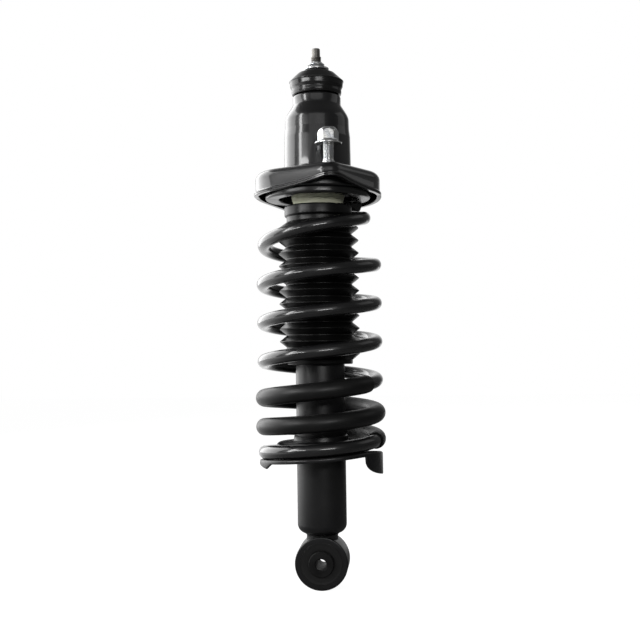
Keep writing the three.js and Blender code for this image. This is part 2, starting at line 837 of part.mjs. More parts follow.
// Pressed pan: a flat top drawn up round the tower, a skirt with a rounded edge, and a rolled lip.
function mountFlange() {
  const hole = towerRadius + panHoleRoom;
  const collarTop = panTop + panCollarHeight;
  const fillet = panCollarHeight - panCollarLand;
  const collar = hole + panCollarWall;
  const innerRound = panEdgeRound - panSheet;
  const top = corner(-panEdgeRound, panTop - panEdgeRound, panEdgeRound, 90, 0, 3);
  const under = corner(-panEdgeRound, panTop - panEdgeRound, innerRound, 0, 90, 1);
  const rings = [
    panCircle(hole, collarTop),
    panCircle(collar, collarTop),
    ...corner(collar + fillet, panTop + fillet, fillet, 180, 270).map(([r, h]) => panCircle(r, h)),
    ...top.map(([offset, h]) => panRing(offset, h)),
    skirtRing(0, panLipHeight + panLipStep),
    skirtRing(panLipWidth, panLipHeight),
    skirtRing(panLipWidth, 0),
    skirtRing(-panSheet, 0),
    ...under.map(([offset, h]) => panRing(offset, h)),
    panCircle(hole, panUnderside),
  ];
  const studHole = rod(studRadius + studHoleRoom, panUnderside - cutReach, panTop + cutReach);
  const holes = [-1, 1].map((side) => studHole.clone().translate(0, side * studCircleRadius, 0));
  return cut(skinned(rings, true), ...holes);
}

// Deep-drawn tower: a foot under the pan, a slightly stepped wall, a round shoulder and a neck
// whose top plate is pierced for the rod's bushings.
function mountTower() {
  const neckTop = towerTop;
  const neckFoot = towerTop - neckedHeight;
  const step = panTop + towerStepHeight;
  const edge = 3;
  const t = towerSheet;
  const wide = towerUpperRadius - neckedRadius;
  const shoulderOut = [0, 0.25, 0.5, 0.75, 1].map((s) => [
    neckedRadius + wide * (s + s ** 2 - s ** 3),
    neckFoot - towerShoulderHeight * s,
  ]);
  const outside = [
    [towerFootRadius, towerFootBottom],
    [towerFootRadius, towerFootBottom + t],
    [towerRadius, towerFootBottom + t],
    [towerRadius - towerTaper, step - towerStepRun],
    [towerUpperRadius + towerUpperTaper, step + towerStepRun],
    ...shoulderOut.reverse(),
    ...corner(neckedRadius - edge, neckTop - edge, edge, 0, 90),
    [towerMouthRadius, neckTop],
  ];
  const inside = [
    [towerMouthRadius, neckTop - t],
    [neckedRadius - edge, neckTop - t],
    [neckedRadius - t, neckTop - t - neckChamfer],
    ...shoulderOut.reverse().map(([r, h]) => [r - t, h - towerShoulderThin]),
    [towerUpperRadius + towerUpperTaper - t, step + towerStepRun],
    [towerRadius - towerTaper - t, step - towerStepRun],
    [towerRadius - t, towerFootBottom],
  ];
  return turned([...outside, ...inside]);
}

// Cup welded inside the tower, which backs the bump stop.
function bumpStopCup() {
  const outer = cupRadius;
  const inner = outer - cupSheet;
  const top = cupPlateFoot + cupSheet;
  const bore = rodRadius + looseGap + cupBoreRoom;
  return turned([
    [bore, cupPlateFoot],
    [inner, cupPlateFoot],
    [inner, cupPlateFoot - cupSkirt],
    [outer, cupPlateFoot - cupSkirt],
    ...corner(outer - cupEdgeRound, top - cupEdgeRound, cupEdgeRound, 0, 90, 2),
    [bore, top],
  ], innerSteps);
}

// Foam bump stop: a plain top in the cup, a taper where it leaves the tower, a groove that holds
// the boot, and softer rings down to the nose.
function bumpStop() {
  const grooveTop = bootTop + seatGap;
  const grooveFoot = bootTop - bootWall - seatGap;
  const waist = grooveFoot - bumpStopWaistDrop;
  const ringHeight = (waist - bumpStopNose) / bumpStopRings;
  const lastRing = bumpStopNoseRadius + bumpStopRingRoom;
  const rings = [];
  for (let i = 0; i < bumpStopRings; i++) {
    const share = i / bumpStopRings;
    const wide = THREE.MathUtils.lerp(bumpStopNeckRadius, lastRing, share);
    const foot = waist - ringHeight * (i + 1);
    rings.push([wide, foot + ringHeight * bumpStopRingTop]);
    rings.push([wide, foot + ringHeight * bumpStopRingFoot]);
    if (i < bumpStopRings - 1) rings.push([wide - bumpStopRingDepth, foot]);
  }
  return turned([
    [bumpStopBore, bumpStopTop],
    [bumpStopBore, bumpStopNose],
    ...[[bumpStopNoseRadius, bumpStopNose], ...rings.reverse()],
    [bumpStopNeckRadius - bumpStopWaistIn, waist],
    [bumpStopNeckRadius + bumpStopHipOut, grooveFoot - bumpStopHipDrop],
    [bumpStopNeckRadius + bumpStopHipOut, grooveFoot],
    [bumpStopNeckRadius, grooveFoot],
    [bumpStopNeckRadius, grooveTop],
    [bumpStopNeckRadius + bumpStopStep, grooveTop],
    [bumpStopRadius, grooveTop + bumpStopTaperHeight],
    [bumpStopRadius, bumpStopTop],
  ], innerSteps);
}

// Moulded bellows: a collar whose top hooks into the bump stop's groove, evenly spaced round-edged
// ridges, and a foot turned in under the cap's flange.
function dustBoot() {
  const w = bootWall;
  const shoulder = bootTop - bootShoulderHeight;
  const footTop = bootFoot + bootFootHeight;
  const pitch = (shoulder - footTop) / bootRidges;
  const collarFoot = bootTop - bootCollarHeight;
  const footBore = tubeRadius + seatGap + capWall + seatGap;
  const outside = [];
  for (let i = 0; i < bootRidges; i++) {
    const ridge = shoulder - pitch * (i + 0.5);
    const valley = shoulder - pitch * (i + 1);
    outside.push([bootRidgeRadius, ridge], [bootValleyRadius, valley]);
  }
  return turned([
    [bumpStopNeckRadius + seatGap, bootTop],
    [bootCollarRadius - bootTopChamfer, bootTop],
    [bootCollarRadius, bootTop - bootTopChamfer],
    [bootCollarRadius, collarFoot],
    [bootCollarRadius - bootCollarFootIn, collarFoot - bootCollarFootDrop],
    [bootValleyRadius - bootCollarStep, shoulder],
    ...outside,
    [bootValleyRadius, bootFoot + bootFootChamfer],
    [bootValleyRadius - bootCollarStep, bootFoot],
    [footBore, bootFoot],
    [footBore, bootFoot + w],
    [bootBoreRadius, bootFoot + w],
    [bootBoreRadius, bootTop - w],
    [bumpStopNeckRadius + seatGap, bootTop - w],
  ]);
}

// ---------------------------------------------------------------- bushings, washers and nuts

// Rubber bushing: two low bulges, a moulding edge over them, a dome, and a spigot below.
function upperBushing() {
  const bore = rodThreadRadius + seatGap + collarWall + seatGap;
  const foot = upperBushingFoot;
  const edge = foot + upperBushingEdgeHeight;
  const spigot = towerMouthRadius - seatGap;
  const round = 1.5;
  const dome = [0.3, 0.575, 0.8, 1].map((s) => [
    THREE.MathUtils.lerp(upperBushingRadius, upperBushingTopRadius, s),
    edge + (upperBushingTop - edge) * Math.sin((s * Math.PI) / 2),
  ]);
  return turned([
    [bore, towerCeiling],
    [spigot, towerCeiling],
    [spigot, foot],
    [upperBushingFootRadius - round, foot],
    [upperBushingFootRadius, foot + round],
    [upperBushingFootRadius + upperBushingLean, foot + upperBushingGroove],
    [upperBushingFootRadius + upperBushingBulge, (foot + upperBushingGroove + edge) / 2],
    [upperBushingRadius, edge - upperBushingEdge],
    [upperBushingRadius, edge],
    ...dome,
    [bore, upperBushingTop],
  ]);
}

function lowerBushing() {
  const bore = rodThreadRadius + seatGap + collarWall + seatGap;
  const round = 3;
  return turned([
    [bore, lowerBushingFoot],
    ...corner(lowerBushingRadius - round, lowerBushingFoot + round, round, -90, 0, 2),
    ...corner(lowerBushingRadius - round, lowerBushingTop - round, round, 0, 90, 2),
    [bore, lowerBushingTop],
  ], innerSteps);
}

function bushingCollar() {
  const bore = rodThreadRadius + seatGap;
  const outer = bore + collarWall;
  return turned([
    [bore, lowerBushingFoot],
    [outer, lowerBushingFoot],
    [outer, upperBushingTop],
    [bore, upperBushingTop],
  ], smallSteps);
}

// Washer dished towards the bushing that it presses on.
function dishedWasher(foot, outer, side) {
  const bore = rodThreadRadius + seatGap;
  const underNut = rodNutFlangeRadius + washerLand;
  const flat = Math.min(Math.max(outer * washerFlatShare, underNut), outer - washerRim);
  const rim = side * washerDish;
  const top = foot + washerThickness;
  return turned([
    [bore, foot],
    [flat, foot],
    [outer, foot + rim],
    [outer, top + rim],
    [flat, top],
    [bore, top],
  ], innerSteps);
}

// Hexagon nut with domed corners. A flange nut has a round skirt that spreads to its foot.
function hexNut({ foot, height, across, bore, flangeRadius }) {
  const corners = across / 2 / Math.cos(Math.PI / 6);
  const hexagon = new THREE.CylinderGeometry(corners, corners, height, 6);
  hexagon.rotateX(Math.PI / 2).translate(0, 0, foot + height / 2);
  const dome = turned([
    [0, foot],
    [corners + nutCornerRoom, foot],
    [corners + nutCornerRoom, foot + height * nutDomeFoot],
    [corners - nutCornerCut, foot + height * nutDomeMiddle],
    [across / 2 - nutTopCut, foot + height],
    [0, foot + height],
  ], smallSteps);
  const body = common(closed(hexagon), dome);
  const hole = rod(bore, foot - cutReach, foot + height + cutReach);
  if (!flangeRadius) return cut(body, hole);
  const flange = turned([
    [0, foot],
    [flangeRadius, foot],
    [flangeRadius, foot + nutFlangeThickness / 2],
    [corners, foot + nutFlangeThickness * 2],
    [0, foot + nutFlangeThickness * 2],
  ], innerSteps);
  return cut(join(body, flange), hole);
}

// Stud pressed up through the pan, with a flat head under it and a chamfered tip.
function stud() {
  const headTop = panUnderside - seatGap;
  const tip = panTop + studLength;
  return turned([
    [0, headTop - studHeadHeight],
    [studHeadRadius, headTop - studHeadHeight],
    [studHeadRadius, headTop],
    [studRadius, headTop],
    [studRadius, tip - studTipChamfer],
    [studRadius - studTipChamfer, tip],
    [0, tip],
  ], smallSteps);
}

// ---------------------------------------------------------------- rod and piston

// Ground rod: a spigot for the piston, a shoulder under the lower washer, a thread above it, and
// two flats at the tip that hold the rod while its nut is turned.
function pistonRod() {
  const spigotFoot = pistonTop - pistonHeight - valveStackHeight - pistonNutHeight - 3 * seatGap;
  const shaft = turned([
    [0, spigotFoot],
    [pistonSpigotRadius, spigotFoot],
    [pistonSpigotRadius, pistonTop + seatGap],
    [rodRadius, pistonTop + seatGap],
    [rodRadius, rodShoulder],
    [rodThreadRadius, rodShoulder],
    [rodThreadRadius, rodThreadTop],
    [rodThreadRadius - rodTipStep, rodThreadTop + rodTipStep],
    [rodThreadRadius - rodTipStep, rodTop - rodTipChamfer],
    [rodThreadRadius - rodTipStep - rodTipChamfer, rodTop],
    [0, rodTop],
  ], smallSteps);
  const toolWidth = 4;
  const above = 2.5; // by which the tool stands out over the tip
  const below = 0.5; // left round over the thread
  const toolHeight = rodFlatsLength - below + above;
  const toolPlace = (rodFlatsAcross + toolWidth) / 2;
  const flats = [-1, 1].map((side) => {
    const box = new THREE.BoxGeometry(toolWidth, 4 * rodThreadRadius, toolHeight);
    return closed(box.translate(side * toolPlace, 0, rodTop + above - toolHeight / 2));
  });
  return cut(shaft, ...flats);
}

function reboundStop() {
  const bore = rodRadius + seatGap;
  const foot = reboundStopTop - reboundStopHeight;
  return turned([
    [bore, foot],
    [reboundStopRadius, foot],
    [reboundStopRadius, reboundStopTop - reboundStopChamfer],
    [reboundStopRadius - reboundStopChamfer, reboundStopTop],
    [bore, reboundStopTop],
  ], smallSteps);
}

// Piston with oil passages right through it and a groove round it for the band.
function piston() {
  const bore = pistonSpigotRadius + seatGap;
  const outer = workBoreRadius - pistonRoom;
  const foot = pistonTop - pistonHeight;
  const groove = workBoreRadius - seatGap - bandThickness - seatGap;
  const grooveFoot = foot + (pistonHeight - bandHeight) / 2 - seatGap;
  const grooveTop = grooveFoot + bandHeight + 2 * seatGap;
  const body = turned([
    [bore, foot],
    [outer, foot],
    [outer, grooveFoot],
    [groove, grooveFoot],
    [groove, grooveTop],
    [outer, grooveTop],
    [outer, pistonTop],
    [bore, pistonTop],
  ], innerSteps);
  const passage = rod(passageRadius, foot - cutReach, pistonTop + cutReach, passageSides);
  const ring = (bore + groove) / 2;
  const passages = Array.from({ length: 4 }, (_, i) =>
    passage.clone().translate(ring, 0, 0).rotateZ((i * Math.PI) / 2),
  );
  return cut(body, ...passages);
}

function pistonBand() {
  const outer = workBoreRadius - seatGap;
  const inner = outer - bandThickness;
  const foot = pistonTop - pistonHeight / 2 - bandHeight / 2;
  return turned([
    [inner, foot],
    [outer, foot],
    [outer, foot + bandHeight],
    [inner, foot + bandHeight],
  ], innerSteps);
}

// Thin discs, each smaller than the one above it.
function valveStack() {
  const bore = pistonSpigotRadius + seatGap;
  const top = pistonTop - pistonHeight - seatGap;
  const thick = valveStackHeight / valveDiscs;
  const outline = [[bore, top]];
  for (let i = 0; i < valveDiscs; i++) {
    const radius = bore + valveDiscRoot + (valveDiscs - i) * valveDiscStep;
    outline.push([radius, top - i * thick], [radius, top - (i + 1) * thick]);
  }
  outline.push([bore, top - valveStackHeight]);
  return turned(outline, smallSteps);
}

// ---------------------------------------------------------------- the assembly

place('lower_eye', lowerEye(), satinPaint);
place('eye_bush', eyeBush(), blackRubber);
place('inner_sleeve', innerSleeve(), darkSteel);
place('outer_tube', outerTube(), satinPaint);
place('work_tube', workTube(), brightSteel);
place('base_valve', baseValve(), sinteredSteel);
place('rod_guide', rodGuide(), sinteredSteel);
place('rod_seal', rodSeal(), blackRubber);
place('tube_cap', tubeCap(), blackRubber);
place('lower_spring_seat', lowerSpringSeat(), blackPaint);

place('coil_spring', coilSpring(), blackPaint);
place('spring_hose', springHose(), blackRubber);
place('spring_isolator', springIsolator(), blackRubber);
place('upper_spring_seat', upperSpringSeat(), blackPaint);
place('mount_tower', mountTower(), blackPaint);

const panGroup = new THREE.Group();
panGroup.rotation.z = radians(studAngle);
strut.add(panGroup);
place('mount_flange', mountFlange(), blackPaint, panGroup);
for (const [name, side] of [['front', -1], ['rear', 1]]) {
  const spot = new THREE.Group();
  spot.position.y = side * studCircleRadius;
  panGroup.add(spot);
  place(`${name}_stud`, stud(), zinc, spot);
  const nut = hexNut({
    foot: panTop + studNutStandoff,
    height: studNutHeight,
    across: studNutAcross,
    bore: studRadius + seatGap,
    flangeRadius: studNutFlangeRadius,
  });
  place(`${name}_stud_nut`, nut, zinc, spot);
}

place('bump_stop_cup', bumpStopCup(), blackPaint);
place('bump_stop', bumpStop(), creamFoam);
place('dust_boot', dustBoot(), bootRubber);
place('lower_washer', dishedWasher(rodShoulder + seatGap, lowerWasherRadius, -1), darkSteel);
place('lower_bushing', lowerBushing(), blackRubber);
place('bushing_collar', bushingCollar(), zinc);
place('upper_bushing', upperBushing(), blackRubber);
place('upper_washer', dishedWasher(upperWasherFoot, upperWasherRadius, 1), zinc);
const rodNut = hexNut({
  foot: rodNutFoot,
  height: rodNutHeight,
  across: rodNutAcross,
  bore: rodThreadRadius + seatGap,
  flangeRadius: rodNutFlangeRadius,
});
place('rod_nut', rodNut, zinc);

place('piston_rod', pistonRod(), darkSteel);
place('rebound_stop', reboundStop(), blackRubber);
place('piston', piston(), sinteredSteel);
place('piston_band', pistonBand(), bandPlastic);
place('valve_stack', valveStack(), brightSteel);
const pistonNut = hexNut({
  foot: pistonTop - pistonHeight - valveStackHeight - pistonNutHeight - 2 * seatGap,
  height: pistonNutHeight,
  across: pistonNutAcross,
  bore: pistonSpigotRadius + seatGap,
});
place('piston_nut', pistonNut, darkSteel);

strut.position.z = eyeRadius;
const assembly = new THREE.Group();
assembly.add(strut);

export default assembly;
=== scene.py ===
# Rear suspension strut of a car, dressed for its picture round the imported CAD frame: damper, coil
# spring, dust boot and two-stud upper mount. The strut's lengths are in millimetres up to the point
# where a mesh is made, the studio's in metres. The pieces follow in the order of assembly, but the
# rod comes last, because it is sized by the pieces that it holds.

import math

import bmesh
import bpy
from mathutils import Matrix, Vector
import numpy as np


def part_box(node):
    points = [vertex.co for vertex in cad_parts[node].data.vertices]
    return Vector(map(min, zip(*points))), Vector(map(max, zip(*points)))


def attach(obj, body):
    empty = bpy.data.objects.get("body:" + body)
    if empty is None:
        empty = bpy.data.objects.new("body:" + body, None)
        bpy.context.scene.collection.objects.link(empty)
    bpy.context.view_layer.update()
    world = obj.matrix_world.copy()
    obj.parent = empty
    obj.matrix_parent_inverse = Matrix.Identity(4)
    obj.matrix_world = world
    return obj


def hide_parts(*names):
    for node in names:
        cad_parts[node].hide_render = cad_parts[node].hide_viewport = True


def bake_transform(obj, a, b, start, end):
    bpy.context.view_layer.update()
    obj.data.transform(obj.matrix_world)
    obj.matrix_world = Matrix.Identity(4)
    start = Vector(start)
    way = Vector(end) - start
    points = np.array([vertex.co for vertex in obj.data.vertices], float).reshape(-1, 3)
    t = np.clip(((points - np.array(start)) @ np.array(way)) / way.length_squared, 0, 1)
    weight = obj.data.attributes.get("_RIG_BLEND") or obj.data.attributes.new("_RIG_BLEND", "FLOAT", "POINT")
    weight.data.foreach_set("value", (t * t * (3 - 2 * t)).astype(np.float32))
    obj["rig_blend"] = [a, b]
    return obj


MM = 0.001

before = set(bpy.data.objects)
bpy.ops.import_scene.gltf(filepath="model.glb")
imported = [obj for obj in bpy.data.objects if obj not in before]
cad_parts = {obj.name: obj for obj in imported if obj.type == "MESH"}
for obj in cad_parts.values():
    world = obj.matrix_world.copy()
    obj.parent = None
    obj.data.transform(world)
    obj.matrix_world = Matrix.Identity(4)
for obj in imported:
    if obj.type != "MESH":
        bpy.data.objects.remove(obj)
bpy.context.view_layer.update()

# ------------------------------------------------------------------------------------ camera
# The strut is seen along its lower bolt, five degrees round to the right, from near the middle of
# its height. The camera stands about a metre away, tips up a little and leans by less than a degree.

camera_distance = 982
camera_height = 231.0
camera_aside = 0.4
camera_turn = math.radians(5)
camera_tip = math.radians(1.718)
camera_lean = math.radians(-0.775)

camera = bpy.data.objects.new("camera", bpy.data.cameras.new("camera"))
camera.data.sensor_width = 36
camera.data.lens = 56.25
camera.data.clip_start = 0.01
camera_place = Matrix.Translation(
    MM * Vector((
        camera_distance * math.sin(camera_turn) + camera_aside * math.cos(camera_turn),
        -camera_distance * math.cos(camera_turn) + camera_aside * math.sin(camera_turn),
        camera_height,
    ))
)
camera.matrix_world = (
    camera_place
    @ Matrix.Rotation(camera_turn, 4, "Z")
    @ Matrix.Rotation(math.pi / 2 + camera_tip, 4, "X")
    @ Matrix.Rotation(camera_lean, 4, "Z")
)
bpy.context.scene.collection.objects.link(camera)
bpy.context.scene.camera = camera
bpy.context.scene.view_settings.view_transform = "Standard"

# ------------------------------------------------------------------------------------ studio
# A white floor and a white surround that is brightest behind the strut and to its left, and falls
# to grey in front. Softboxes stand on the left and in front, and a weak one on the right.


def add_node(tree, kind, sockets=None, **settings):
    """Adds a shader node. Sockets are given by name or number, as a value or as a socket to link."""
    made = tree.nodes.new("ShaderNode" + kind)
    for setting, value in settings.items():
        setattr(made, setting, value)
    for socket, value in (sockets or {}).items():
        if isinstance(value, bpy.types.NodeSocket):
            tree.links.new(value, made.inputs[socket])
        else:
            made.inputs[socket].default_value = value
    return made


front_grey = 0.09
back_white = 1.0
room_light = 0.9  # of the surround, as it lights dull surfaces
white_side = (-0.5, 0.87, 0)  # towards the brightest part of the surround
grey_until = 0.45  # how far round to that side it stays grey
white_from = 0.95


def calculate(tree, operation, *values):
    """Result of a Math node on some values and sockets."""
    return add_node(tree, "Math", dict(enumerate(values)), operation=operation).outputs[0]


def fade_along(tree, place, side, low, high, start, end):
    """Fades smoothly from a start to an end value as a place moves along a direction."""
    along = add_node(tree, "VectorMath", {0: place, 1: side}, operation="DOT_PRODUCT").outputs["Value"]
    span = {"Value": along, "From Min": low, "From Max": high, "To Min": start, "To Max": end}
    return add_node(tree, "MapRange", span, interpolation_type="SMOOTHSTEP").outputs["Result"]


world = bpy.data.worlds.new("surround")
bpy.context.scene.world = world
world.use_nodes = True
sky = world.node_tree
sky.nodes.clear()
direction = add_node(sky, "TexCoord").outputs["Generated"]
shade = fade_along(sky, direction, white_side, grey_until, white_from, front_grey, back_white)
rays = add_node(sky, "LightPath").outputs
dimmed = calculate(sky, "MULTIPLY", shade, room_light)
mirrored = calculate(sky, "MAXIMUM", rays["Is Glossy Ray"], rays["Is Transmission Ray"])
lit = add_node(sky, "Mix", {0: mirrored, 2: dimmed, 3: shade}).outputs[0]
seen = add_node(sky, "Mix", {0: rays["Is Camera Ray"], 2: lit, 3: 1.0}).outputs[0]
surround = add_node(sky, "Background", {"Color": (1, 1, 1, 1), "Strength": seen})
add_node(sky, "OutputWorld", {"Surface": surround.outputs[0]})


def softbox(name, turn, height, distance, width, tall, glow, aim=(0, 0, 0.3)):
    """Rectangular lamp at an angle round from the camera's side, positive to the right."""
    lamp = bpy.data.objects.new(name, bpy.data.lights.new(name, "AREA"))
    lamp.data.shape = "RECTANGLE"
    lamp.data.size = width
    lamp.data.size_y = tall
    lamp.data.energy = glow * math.pi * width * tall
    angle = math.radians(turn) + camera_turn
    lamp.location = (distance * math.sin(angle), -distance * math.cos(angle), height)
    away = Vector(aim) - lamp.location
    lamp.rotation_euler = away.to_track_quat("-Z", "Y").to_euler()
    bpy.context.scene.collection.objects.link(lamp)


softbox("strip_left", -60, 0.75, 1.2, 0.20, 0.9, 10)
softbox("box_front", 10, 0.46, 1.1, 0.50, 0.12, 13)
softbox("box_front_left", -43, 0.58, 1.1, 0.50, 0.12, 13)
softbox("key_left", -118, 0.75, 1.5, 2.0, 1.9, 2.8)
softbox("rim_right", 100, 1.25, 1.6, 1.2, 0.8, 0.3)
softbox("wall_front", 0, 1.50, 2.2, 2.4, 1.1, 0.5)

floor_reach = 4
floor_tone = 0.20
floor_glow = 0.96
floor_shine = 1.0  # of the floor behind and to the left, as it is mirrored in the paint
shine_side = (-0.8, 0.6, 0)
dull_until = 0.05  # metres from the strut towards that side
shine_from = 0.6

floor_mesh = bpy.data.meshes.new("floor")
floor_corners = [(x * floor_reach, y * floor_reach, 0) for x, y in ((-1, -1), (1, -1), (1, 1), (-1, 1))]
floor_mesh.from_pydata(floor_corners, [], [(0, 1, 2, 3)])
floor = bpy.data.objects.new("floor", floor_mesh)
bpy.context.scene.collection.objects.link(floor)
floor_paper = bpy.data.materials.new("floor_paper")
floor_paper.use_nodes = True
paper = floor_paper.node_tree
paper.nodes.clear()
paper_rays = add_node(paper, "LightPath").outputs
paper_place = add_node(paper, "TexCoord").outputs["Object"]
paper_fade = fade_along(paper, paper_place, shine_side, dull_until, shine_from, 0, floor_shine)
paper_mirrored = calculate(paper, "MULTIPLY", paper_fade, paper_rays["Is Glossy Ray"])
paper_strength = add_node(
    paper, "Mix", {0: paper_rays["Is Camera Ray"], 2: paper_mirrored, 3: floor_glow}
).outputs[0]
paper_glow = add_node(paper, "Emission", {"Strength": paper_strength})
paper_matte = add_node(paper, "BsdfDiffuse", {"Color": (floor_tone, floor_tone, floor_tone, 1)})
paper_both = add_node(paper, "AddShader", {0: paper_matte.outputs[0], 1: paper_glow.outputs[0]})
add_node(paper, "OutputMaterial", {"Surface": paper_both.outputs[0]})
floor_mesh.materials.append(floor_paper)

# ------------------------------------------------------------------------------------ lower eye
# Forged steel ring on a short neck, welded to the closed end of the damper tube and painted satin
# black with it. The bolt to the suspension arm passes through it along Y.


def box_of(node):
    """Lowest and highest corner of a CAD node, in millimetres."""
    low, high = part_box(node)
    return low / MM, high / MM


def around(steps):
    """Angles spaced evenly round a full turn."""
    return [2 * math.pi * i / steps for i in range(steps)]


def rounded(corners, steps=6):
    """Outline with its corners rounded: a corner is (radius, height) or (radius, height, fillet)."""
    points = []
    for i, corner in enumerate(corners):
        here = Vector(corner[:2])
        before = Vector(corners[i - 1][:2]) - here
        after = Vector(corners[(i + 1) % len(corners)][:2]) - here
        fillet = corner[2] if len(corner) > 2 else 0
        half = before.angle(after) / 2 if fillet else 0
        if not fillet or half > math.radians(89):
            points.append(tuple(here))
            continue
        reach = min(fillet / math.tan(half), 0.49 * before.length, 0.49 * after.length)
        start = here + before.normalized() * reach
        end = here + after.normalized() * reach
        middle = here + (before.normalized() + after.normalized()).normalized() * reach / math.cos(half)
        swing = (start - middle).angle_signed(end - middle)
        for k in range(steps + 1):
            turned_by = Matrix.Rotation(-swing * k / steps, 2)
            points.append(tuple(middle + turned_by @ (start - middle)))
    return points


def skinned(name, rings, closed=True, sharp=35):
    """Mesh through rings of points. The last ring meets the first, or both ends are capped."""
    count = len(rings[0])
    points = [MM * Vector(p) for ring in rings for p in ring]
    spans = len(rings) if closed else len(rings) - 1
    faces = []
    for i in range(spans):
        here, there = i * count, (i + 1) % len(rings) * count
        for k in range(count):
            after = (k + 1) % count
            faces.append((here + k, here + after, there + after, there + k))
    if not closed:
        faces.append(tuple(reversed(range(count))))
        faces.append(tuple(range((len(rings) - 1) * count, len(rings) * count)))
    mesh = bpy.data.meshes.new(name)
    mesh.from_pydata(points, [], faces)
    work = bmesh.new()
    work.from_mesh(mesh)
    bmesh.ops.remove_doubles(work, verts=work.verts, dist=1e-7)
    bmesh.ops.recalc_face_normals(work, faces=work.faces)
    work.to_mesh(mesh)
    work.free()
    mesh.shade_smooth()
    mesh.set_sharp_from_angle(angle=math.radians(sharp))
    piece = bpy.data.objects.new(name, mesh)
    bpy.context.scene.collection.objects.link(piece)
    return piece


def turned(name, outline, steps=128, along="Z", height=0):
    """Solid of revolution about Z, or about a line along Y at a height."""
    rings = []
    for angle in around(steps):
        cos, sin = math.cos(angle), math.sin(angle)
        if along == "Z":
            rings.append([(r * cos, r * sin, h) for r, h in outline])
        else:
            rings.append([(r * cos, h, r * sin + height) for r, h in outline])
    return skinned(name, rings)


def combine(piece, tool, operation):
    """Joins or cuts a piece with a tool, which is used up."""
    change = piece.modifiers.new(operation, "BOOLEAN")
    change.operation = operation
    change.solver = "EXACT"
    change.object = tool
    bpy.context.view_layer.update()
    whole = piece.evaluated_get(bpy.context.evaluated_depsgraph_get())
    made = bpy.data.meshes.new_from_object(whole)
    piece.modifiers.clear()
    piece.data = made
    made.name = piece.name
    made.shade_smooth()
    made.set_sharp_from_angle(angle=math.radians(35))
    bpy.data.objects.remove(tool)
    return piece


def dress(piece, body, material, slot, *nodes):
    """Gives a finished piece its material and its body, in place of CAD nodes."""
    piece.data.materials.clear()
    piece.data.materials.append(material)
    if nodes:
        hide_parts(*nodes)
    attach(piece, body)


def shader_group(name, inputs, outputs):
    """Empty node group with named sockets, its input node and its output node."""
    group = bpy.data.node_groups.new(name, "ShaderNodeTree")
    for socket, kind, value in inputs:
        made = group.interface.new_socket(socket, in_out="INPUT", socket_type="NodeSocket" + kind)
        if value is not None:
            made.default_value = value
    for socket, kind in outputs:
        group.interface.new_socket(socket, in_out="OUTPUT", socket_type="NodeSocket" + kind)
    return group, group.nodes.new("NodeGroupInput").outputs, group.nodes.new("NodeGroupOutput").inputs


def new_finish(name, **constants):
    """Material with a Principled shader: gives it, its tree, its shader and its coordinates."""
    material = bpy.data.materials.new(name)
    material.use_nodes = True
    tree = material.node_tree
    tree.nodes.clear()
    shader = add_node(tree, "BsdfPrincipled")
    for socket, value in constants.items():
        shader.inputs[socket.replace("_", " ")].default_value = value
    add_node(tree, "OutputMaterial", {"Surface": shader.outputs[0]})
    return material, tree, shader, add_node(tree, "TexCoord").outputs["Object"]


# Uneven tone: a colour and a roughness that drift over the surface, as every coat and casting has.
uneven, given, put = shader_group(
    "uneven_tone",
    [
        ("Vector", "Vector", None),
        ("Light", "Color", (1, 1, 1, 1)),
        ("Dark", "Color", (0, 0, 0, 1)),
        ("Smooth", "Float", 0.2),
        ("Rough", "Float", 0.4),
        ("Scale", "Float", 40.0),
    ],
    [("Color", "Color"), ("Roughness", "Float")],
)
drift = add_node(uneven, "TexNoise", {"Vector": given["Vector"], "Scale": given["Scale"], "Detail": 5.0})
spread = add_node(uneven, "MapRange", {0: drift.outputs["Fac"], 1: 0.3, 2: 0.7}).outputs[0]
uneven.links.new(
    add_node(uneven, "Mix", {0: spread, 6: given["Dark"], 7: given["Light"]}, data_type="RGBA").outputs[2],
    put["Color"],
)
uneven.links.new(
    add_node(uneven, "MapRange", {0: spread, 3: given["Smooth"], 4: given["Rough"]}).outputs[0],
    put["Roughness"],
)

# Grain: the height of a fine random texture, from the size of its lumps in millimetres.
grain, given, put = shader_group(
    "grain", [("Vector", "Vector", None), ("Lump", "Float", 1.0)], [("Height", "Float")]
)
per_metre = calculate(grain, "DIVIDE", 1 / MM, given["Lump"])
lumps = add_node(grain, "TexNoise", {"Vector": given["Vector"], "Scale": per_metre, "Detail": 3.0})
grain.links.new(lumps.outputs["Fac"], put["Height"])


def tone(tree, shader, where, light, dark, smooth, rough, scale=40.0):
    """Runs the uneven tone into a material's shader."""
    coat = {"Light": (*light, 1), "Dark": (*dark, 1), "Smooth": smooth, "Rough": rough, "Scale": scale}
    made = add_node(tree, "Group", {"Vector": where, **coat}, node_tree=uneven)
    tree.links.new(made.outputs["Color"], shader.inputs["Base Color"])
    tree.links.new(made.outputs["Roughness"], shader.inputs["Roughness"])


def relief(tree, shader, height, depth_mm, strength=1.0):
    """Bumps a material's shader by a height between 0 and 1."""
    bump = add_node(tree, "Bump", {"Height": height, "Strength": strength, "Distance": depth_mm * MM})
    tree.links.new(bump.outputs[0], shader.inputs["Normal"])


def grain_height(tree, where, lump):
    return add_node(tree, "Group", {"Vector": where, "Lump": lump}, node_tree=grain).outputs["Height"]


satin_black, tree, shader, where = new_finish("satin_black_paint", IOR=1.5)
tone(tree, shader, where, (0.007, 0.007, 0.0075), (0.004, 0.004, 0.0045), 0.32, 0.42)
relief(tree, shader, grain_height(tree, where, 0.7), 0.02)

